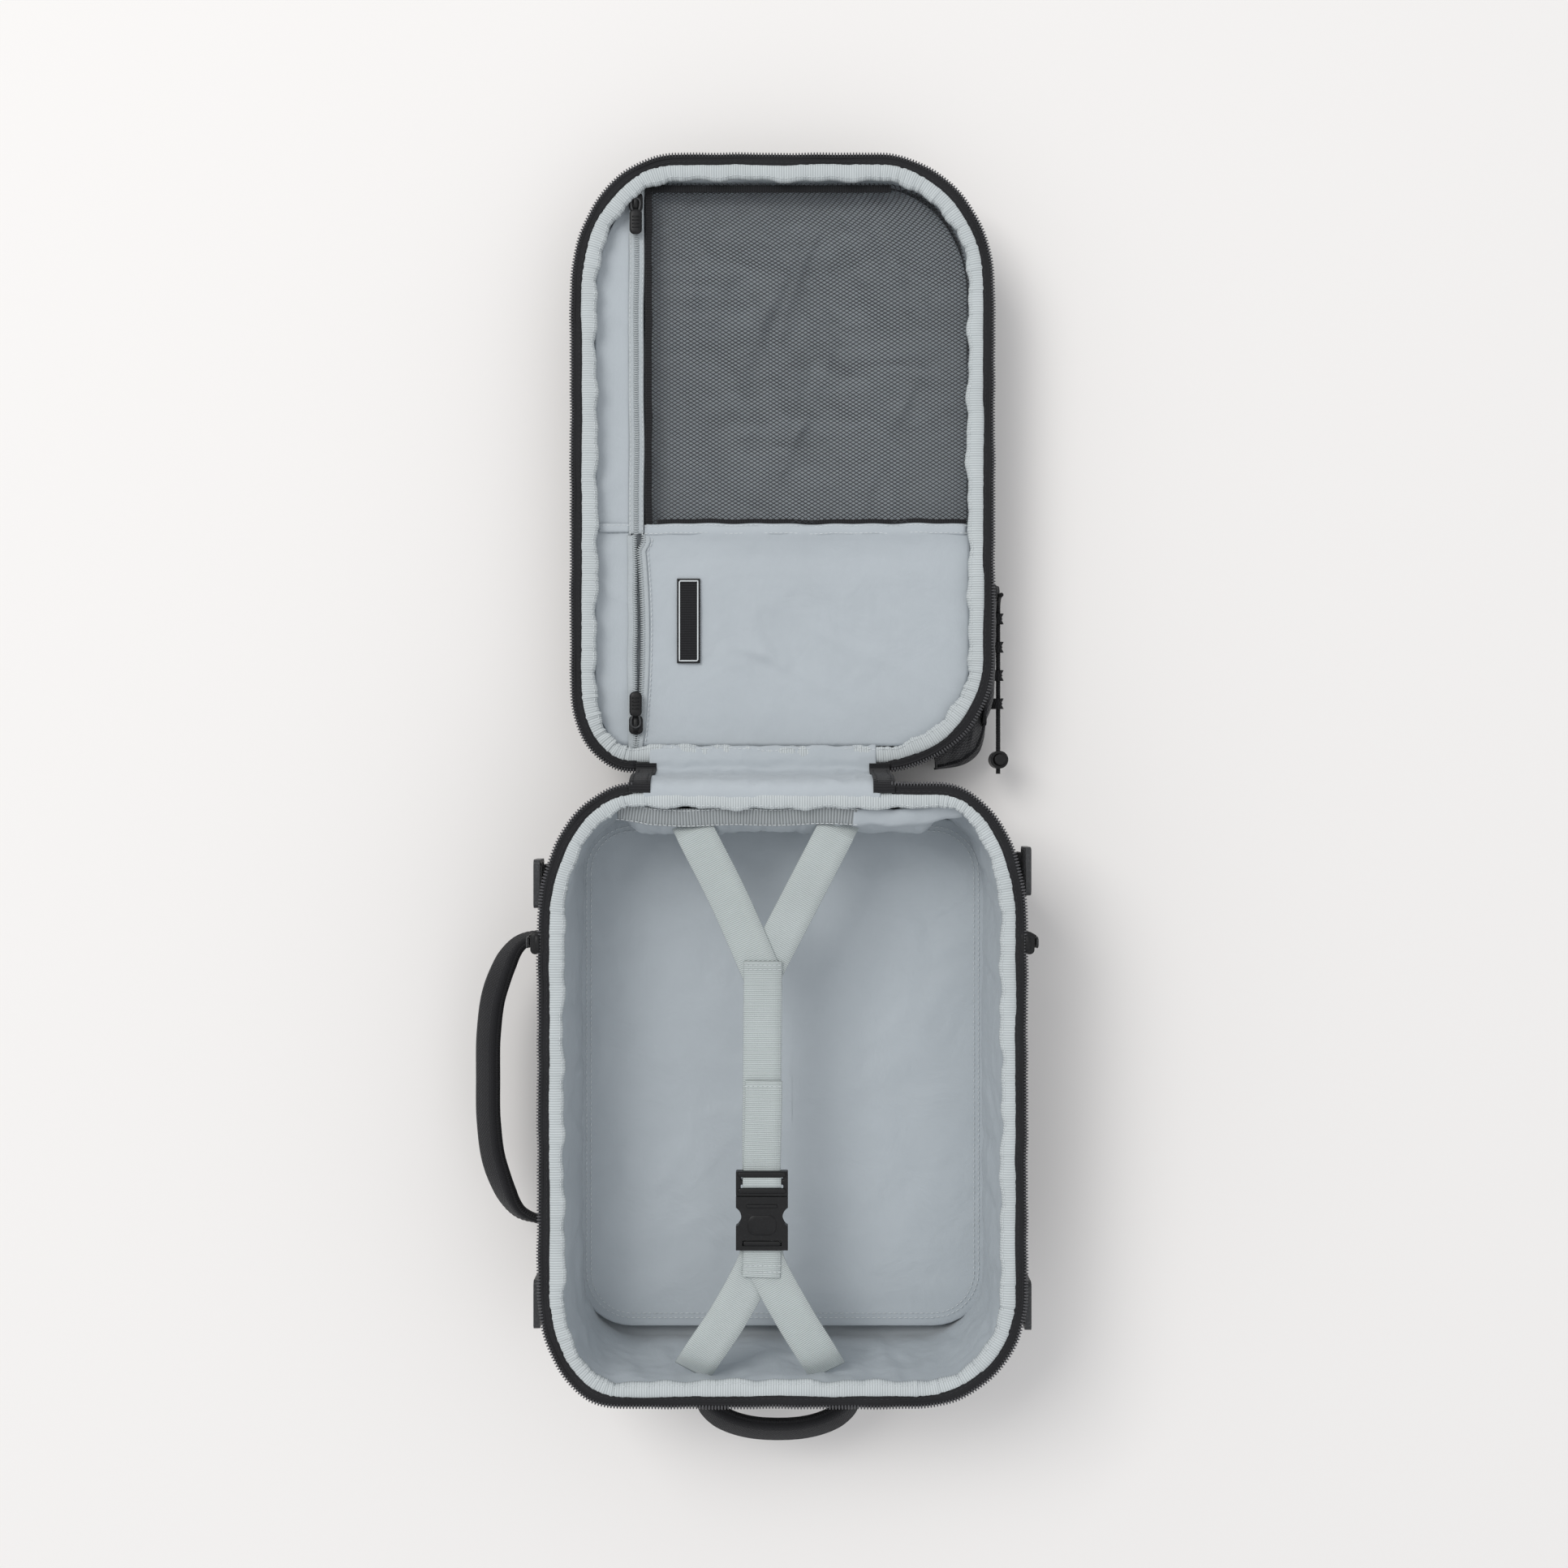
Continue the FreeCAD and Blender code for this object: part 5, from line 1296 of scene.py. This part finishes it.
def harness():
    """Back pads, yoke, shoulder straps with webbing and hardware, and the sleeve for a trolley's handle."""
    low, high, _ = span("back_pads")
    wide = 38.0
    pads = []
    for sign in (-1, 1):
        x = sign * (high[0] - wide / 2)
        pads.append((x, 0, wide, high[1] - low[1], 16))
    pads.append((0, 30, 28, 110, 10))
    for k, shape in enumerate(pads):
        sewn = np.linspace(shape[1] - shape[3] / 2, shape[1] + shape[3] / 2, 7 if k < 2 else 4)[1:-1]
        pad = cushion(f"back_pad_{k}", shape, low[2], high[2], PADDED, full=3.4, rows=18, side=60, channels=sewn)
        own(pad, "main", ["back_pads"] if k == 0 else [])
        edge = rounded_edge(*shape)
        path = np.column_stack([edge, np.full(len(edge), high[2] - 2.0)])
        own(sweep(f"back_pad_piping_{k}", path, round_section(2.4, 2.4, 8), DARK_WEBBING, ring=True), "main")
    y_low, y_high, y_mid = span("harness_yoke")
    yoke = cushion("yoke_panel", (y_mid[0], y_mid[1], y_high[0] - y_low[0], y_high[1] - y_low[1], 8), y_low[2],
                   y_high[2], BLACK, full=5, rows=12)
    own(yoke, "main", ["harness_yoke"])
    border = rounded_edge(y_mid[0], y_mid[1], y_high[0] - y_low[0] - 5, y_high[1] - y_low[1] - 5, 6)
    own(row("yoke_stitches", np.column_stack([border, np.full(len(border), y_low[2] - 0.1)]), STITCH, 3.2,
            DARK_THREAD, closed=True), "main")
    for side, sign in (("left", -1), ("right", 1)):
        body = "strap_" + side
        s_low, s_high, s_mid = span("shoulder_strap_" + side)
        x = s_mid[0]
        ys = np.linspace(s_low[1], s_high[1], 90)
        t = np.linspace(0, 1, 90)
        swell = np.clip(np.sqrt(np.clip(np.sin(np.pi * np.clip(t, 0.004, 0.996)), 0, 1)) * 1.6, 0, 1) * (1 - 0.2 * t)
        section = np.array([(math.copysign(abs(math.cos(a)) ** 0.55, math.cos(a)) * 28,
                             math.copysign(abs(math.sin(a)) ** 0.7, math.sin(a)) * 4.4)
                            for a in np.linspace(0, 2 * math.pi, 32, endpoint=False)])
        path = np.column_stack([np.full(90, x), ys, np.full(90, s_mid[2])])
        side_way, ups = frame_of(path)
        thick = np.clip(swell * 1.7, 0, 1)[:, None, None]
        grid = path[:, None] + side_way[:, None] * (section[None, :, :1] * swell[:, None, None])
        grid = grid + ups[:, None] * section[None, :, 1:] * thick
        pad = skin(f"shoulder_{side}_pad", grid, PADDED, round_=True, caps=True)
        own(pad, body, ["shoulder_strap_" + side])
        for k, way in enumerate((-1, 1)):
            rim = path + side_way * (way * 27.4 * swell)[:, None]
            own(sweep(f"shoulder_{side}_binding_{k}", rim[2:-2], round_section(2.6, 4.6, 8), DARK_WEBBING), body)
        strap(f"shoulder_{side}_runner", [(x, s_low[1] + 18, 0.7), (x, s_mid[1], 0.7), (x, s_high[1] - 10, 0.8)], 20,
              1.2, DARK_WEBBING, body, (), up=(0, 0, -1), edges=DARK_THREAD)
        end = s_high[1]
        _, h_high, _ = span("strap_hardware_" + side)
        strap(f"shoulder_{side}_lower_web", [(x, end - 6, 2.6), (x, end + 14, 2.9), (x, end + 50, 2.4),
                                             (x, h_high[1] - 12, 2.6), (x, h_high[1] - 4.5, 2.8)], 24, 1.5,
              DARK_WEBBING, body, ["strap_webbing_" + side])
        strap(f"shoulder_{side}_sternum_web", [(sign * 12.6, -124, 2.9), (sign * 12.8, -88, 2.6),
                                               (sign * 12.6, -47, 2.8)], 14, 1.5, DARK_WEBBING, body, ())
        refined("strap_hardware_" + side, PLASTIC, body, 0.5)
    refined("anchor_rings", PLASTIC, "main", 0.5)
    t_low, t_high, _ = span("trolley_sleeve")
    xs = np.linspace(t_low[0], t_high[0], 90)
    ys = np.linspace(t_low[1], t_high[1], 40)
    x, y = np.meshgrid(xs, ys)
    drop = np.clip(np.minimum(xs - xs[0], xs[-1] - xs) / 8, 0, 1)[None] ** 0.6
    z = t_high[2] - (t_high[2] - t_low[2] - 0.8) * drop + crumple(np.stack([x, y, x * 0], axis=2), 50, 0.35, 77)
    own(solid(skin("trolley_panel", np.stack([x, y, z], axis=2), BLACK, flip=True), 1.2), "main", ["trolley_sleeve"])
    for k, edge_y in enumerate((t_low[1] + 3, t_high[1] - 3)):
        strap(f"trolley_hem_{k}", [(t_low[0] + 9, edge_y, t_low[2] + 0.2), (0, edge_y, t_low[2] + 0.1),
                                   (t_high[0] - 9, edge_y, t_low[2] + 0.2)], 6, 1.0, DARK_WEBBING, "main", (),
              up=(0, 0, -1))


# ---------------------------------------------------------------- outside of the lid

def front_pocket():
    """The pocket that covers the lid's outer face, with its zip along the far edge."""
    low, high, mid = span("front_pocket_panel")
    shape = (mid[0], mid[1], high[0] - low[0], high[1] - low[1], FRONT_CORNER)
    edge = rounded_edge(*shape)
    face = cushion("front_panel", shape, low[2], high[2] + 0.6, BLACK, full=6, rows=34, flat_under=True, wrinkle=0.5,
                   length=70, seed=83, side=40)
    own(face, "lid", ["front_pocket_panel"])
    for k, inset in enumerate((7.0, 10.0)):
        line = rounded_edge(mid[0], mid[1], high[0] - low[0] - 2 * inset, high[1] - low[1] - 2 * inset,
                            FRONT_CORNER - inset)
        own(row(f"front_border_{k}", np.column_stack([line, np.full(len(line), low[2] + 0.2)]), STITCH, 3.4,
                DARK_THREAD, closed=True), "lid")
    piping = np.column_stack([edge, np.full(len(edge), high[2] - 0.4)])
    own(sweep("front_piping", piping, round_section(2.8, 2.8, 8), DARK_WEBBING, ring=True), "lid")
    s_mid = span("front_slider")[2]
    xs = np.linspace(-107, 92, 110)
    past = np.clip(-101 - xs, 0, 19)
    ys = s_mid[1] - 1.2 - (20 - np.sqrt(20 ** 2 - past ** 2))
    for k, dz in enumerate((-3.2, 3.2)):
        path = np.column_stack([xs, ys, s_mid[2] + np.full(110, dz)])
        own(sweep(f"front_zip_tape_{k}", path, flat_section(5.6, 0.7), TAPE, up=(0, 1, 0)), "lid")
    shelf = np.zeros((110, 4, 3))
    shelf[..., 0] = xs[:, None]
    shelf[..., 1] = ys[:, None] + np.array([-16, -1.4, -1.4, -16])
    shelf[..., 2] = s_mid[2] + np.array([-4.6, -5.0, 5.2, 5.2])
    own(solid(skin("front_zip_backing", shelf, BLACK), 1.0, 0.0), "lid")
    teeth = np.column_stack([xs, ys + 0.7, np.full(110, s_mid[2])])
    own(row("front_zip_coil", teeth, SMALL_TOOTH, COIL_PITCH, COIL), "lid")


def bottle():
    """The stretch pocket on the lid's side, its drawcord and the cord lock."""
    low, high, _ = span("bottle_pocket")
    ys = np.linspace(low[1] - 1, high[1], 100)
    zs = np.linspace(low[2], high[2], 44)
    y, z = np.meshgrid(ys, zs)
    t = ((y - ys[0]) / (ys[-1] - ys[0]))
    s = ((z - zs[0]) / (zs[-1] - zs[0]))
    belly = np.sqrt(np.clip(1 - np.abs(2 * s - 1) ** 4, 0, 1)) * np.clip((1 - np.exp(-t * 9)) * 1.0, 0, 1)
    gather = ripple(zs, (9, 6.5, 4.8), 1.4, 63)[:, None] * t ** 3 * belly
    x = low[0] + 2.2 + (high[0] - low[0] - 2.6) * belly + gather + crumple(np.stack([y, z, y * 0], axis=2), 34, 0.9,
                                                                           64) * belly
    pocket = skin("bottle_pocket_cloth", np.stack([x, y, z], axis=2), PADDED)
    own(solid(pocket, 1.2), "lid", ["bottle_pocket"])
    lip = np.column_stack([x[:, -1] + 0.3, np.full(len(zs), ys[-1]), zs])
    own(sweep("bottle_pocket_hem", lip, flat_section(8.0, 2.6, 0.5), DARK_WEBBING, up=(1, 0, 0)), "lid")
    foot = np.column_stack([x[:, 0] + 0.4, np.full(len(zs), ys[0] + 2), zs])
    own(sweep("bottle_pocket_foot", foot, flat_section(7.0, 1.6, 0.3), DARK_WEBBING, up=(1, 0, 0)), "lid")
    corner = ((-3.4, 16), (-5.8, 3), (-7.2, -10), (-11.5, -21), (-22, -28), (-40, -31))
    bend = curve_points([(high[0] + x, low[1] + y, 0) for x, y in corner], 60)
    wall = LID_RIM[0] - LID_RIM[1] * 3.0
    wall = np.array([wall[np.argmin(np.linalg.norm(wall - at, axis=1))] for at in bend[:, :2]])
    wall = np.column_stack([np.convolve(np.pad(wall[:, k], 6, "edge"), np.ones(13) / 13, "valid") for k in (0, 1)])
    down = np.linspace(0, 1, 30)[None]
    flap = np.zeros((60, 30, 3))
    share = (np.clip(down * 1.25, 0, 1) ** 0.8)[..., None]
    flap[..., :2] = wall[:, None] * (1 - share) + bend[:, None, :2] * share
    flap[..., 2] = LID_TOP - 9 - (LID_TOP - 23) * down ** 1.35
    folds = crumple(flap, 24, 2.2, 66) + ripple(np.linspace(0, 70, 60), (17, 11), 0.8, 67)[:, None]
    flap[..., 2] += folds * np.sin(np.pi * down) ** 0.6
    own(solid(skin("bottle_pocket_end", flap, PADDED, flip=True), 1.4, 0.0), "lid")
    lip_line = flap[2:-2, 17] + np.array([-0.4, 0.3, 0.9])
    own(sweep("bottle_pocket_end_hem", lip_line, flat_section(5.0, 1.4, 0.4), DARK_WEBBING), "lid")
    c_low, c_high, c_mid = span("bottle_cord")
    cx = c_mid[0]
    cz = c_low[2] + 1.5
    route = curve_points([(cx, c_high[1] - 1.5, c_high[2] - 0.5), (cx, c_high[1] - 1.8, cz + 9),
                          (cx, c_high[1] - 5, cz + 2.4), (cx, c_high[1] - 13, cz), (cx, c_mid[1], cz),
                          (cx, c_low[1] + 0.5, cz)], 80)
    own(sweep("bottle_drawcord", route, round_section(3.0, 3.0, 12), DARK_WEBBING, up=(1, 0, 0)), "lid",
        ["bottle_cord"])
    for k, at in enumerate(np.linspace(c_high[1] - 16, low[1] + 13, 4)):
        loop = curve_points([(cx - 6.5, at, cz), (cx - 2.0, at, cz + 2.6), (cx + 1.6, at, cz + 2.2),
                             (cx + 2.5, at, cz), (cx + 1.6, at, cz - 2.2), (cx - 2.0, at, cz - 2.6),
                             (cx - 6.5, at, cz - 0.5)], 40)
        own(sweep(f"cord_keeper_{k}", loop, flat_section(1.0, 7.0), DARK_WEBBING, up=(0, 1, 0)), "lid")
    refined("cord_lock_barrel", PLASTIC, "cord_lock", 0.5)
    refined("cord_lock_button", PLASTIC, "cord_button", 0.6)


# ---------------------------------------------------------------- light, floor and camera

def studio():
    """A pale floor under a broad soft light from the upper left, and a camera straight above."""
    material, _, shader = start("floor paint", 0.9, 0.0, 0.1)
    shader.inputs["Base Color"].default_value = (0.875, 0.852, 0.832, 1)
    mesh = bpy.data.meshes.new("floor")
    mesh.from_pydata([(-6, -6, 0), (6, -6, 0), (6, 6, 0), (-6, 6, 0)], [], [(0, 1, 2, 3)])
    mesh.materials.append(material)
    floor = bpy.data.objects.new("floor", mesh)
    floor.location.z = -0.0005
    bpy.context.collection.objects.link(floor)
    for name, place_, size, power, colour in (("window", (-2.3, 2.3, 4.4), 2.6, 128, (1.0, 0.99, 0.97)),
                                              ("fill", (1.6, -1.2, 4.2), 3.6, 22, (0.97, 0.98, 1.0))):
        lamp = bpy.data.lights.new(name, "AREA")
        lamp.shape = "SQUARE"
        lamp.size = size
        lamp.energy = power
        lamp.color = colour
        made = bpy.data.objects.new(name, lamp)
        made.location = place_
        made.rotation_euler = (Vector((0, 0.19, 0)) - Vector(place_)).to_track_quat("-Z", "Y").to_euler()
        bpy.context.collection.objects.link(made)
    world = bpy.data.worlds.new("soft room")
    world.use_nodes = True
    world.node_tree.nodes["Background"].inputs[0].default_value = (0.95, 0.97, 1.0, 1)
    world.node_tree.nodes["Background"].inputs[1].default_value = 0.66
    bpy.context.scene.world = world
    bpy.context.scene.view_settings.view_transform = "Standard"
    lens = bpy.data.cameras.new("camera")
    lens.sensor_width = 36
    lens.lens = 43.7
    lens.clip_start = 0.05
    camera = bpy.data.objects.new("camera", lens)
    camera.location = (0.001, 0.1966, 1.325)
    bpy.context.collection.objects.link(camera)
    bpy.context.scene.camera = camera


def plain_nodes():
    """The hidden sheet and foam inside the back keep their CAD shapes."""
    for node, material in (("frame_sheet", GREY_PLASTIC), ("back_foam", FOAM)):
        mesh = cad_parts[node].data
        mesh.materials.clear()
        mesh.materials.append(material)


studio()
main_half()
lid_half()
lid_cover()
end_pocket()
divider()
packing()
buckle()
handles()
compression()
hinge()
sliders()
harness()
front_pocket()
bottle()
plain_nodes()
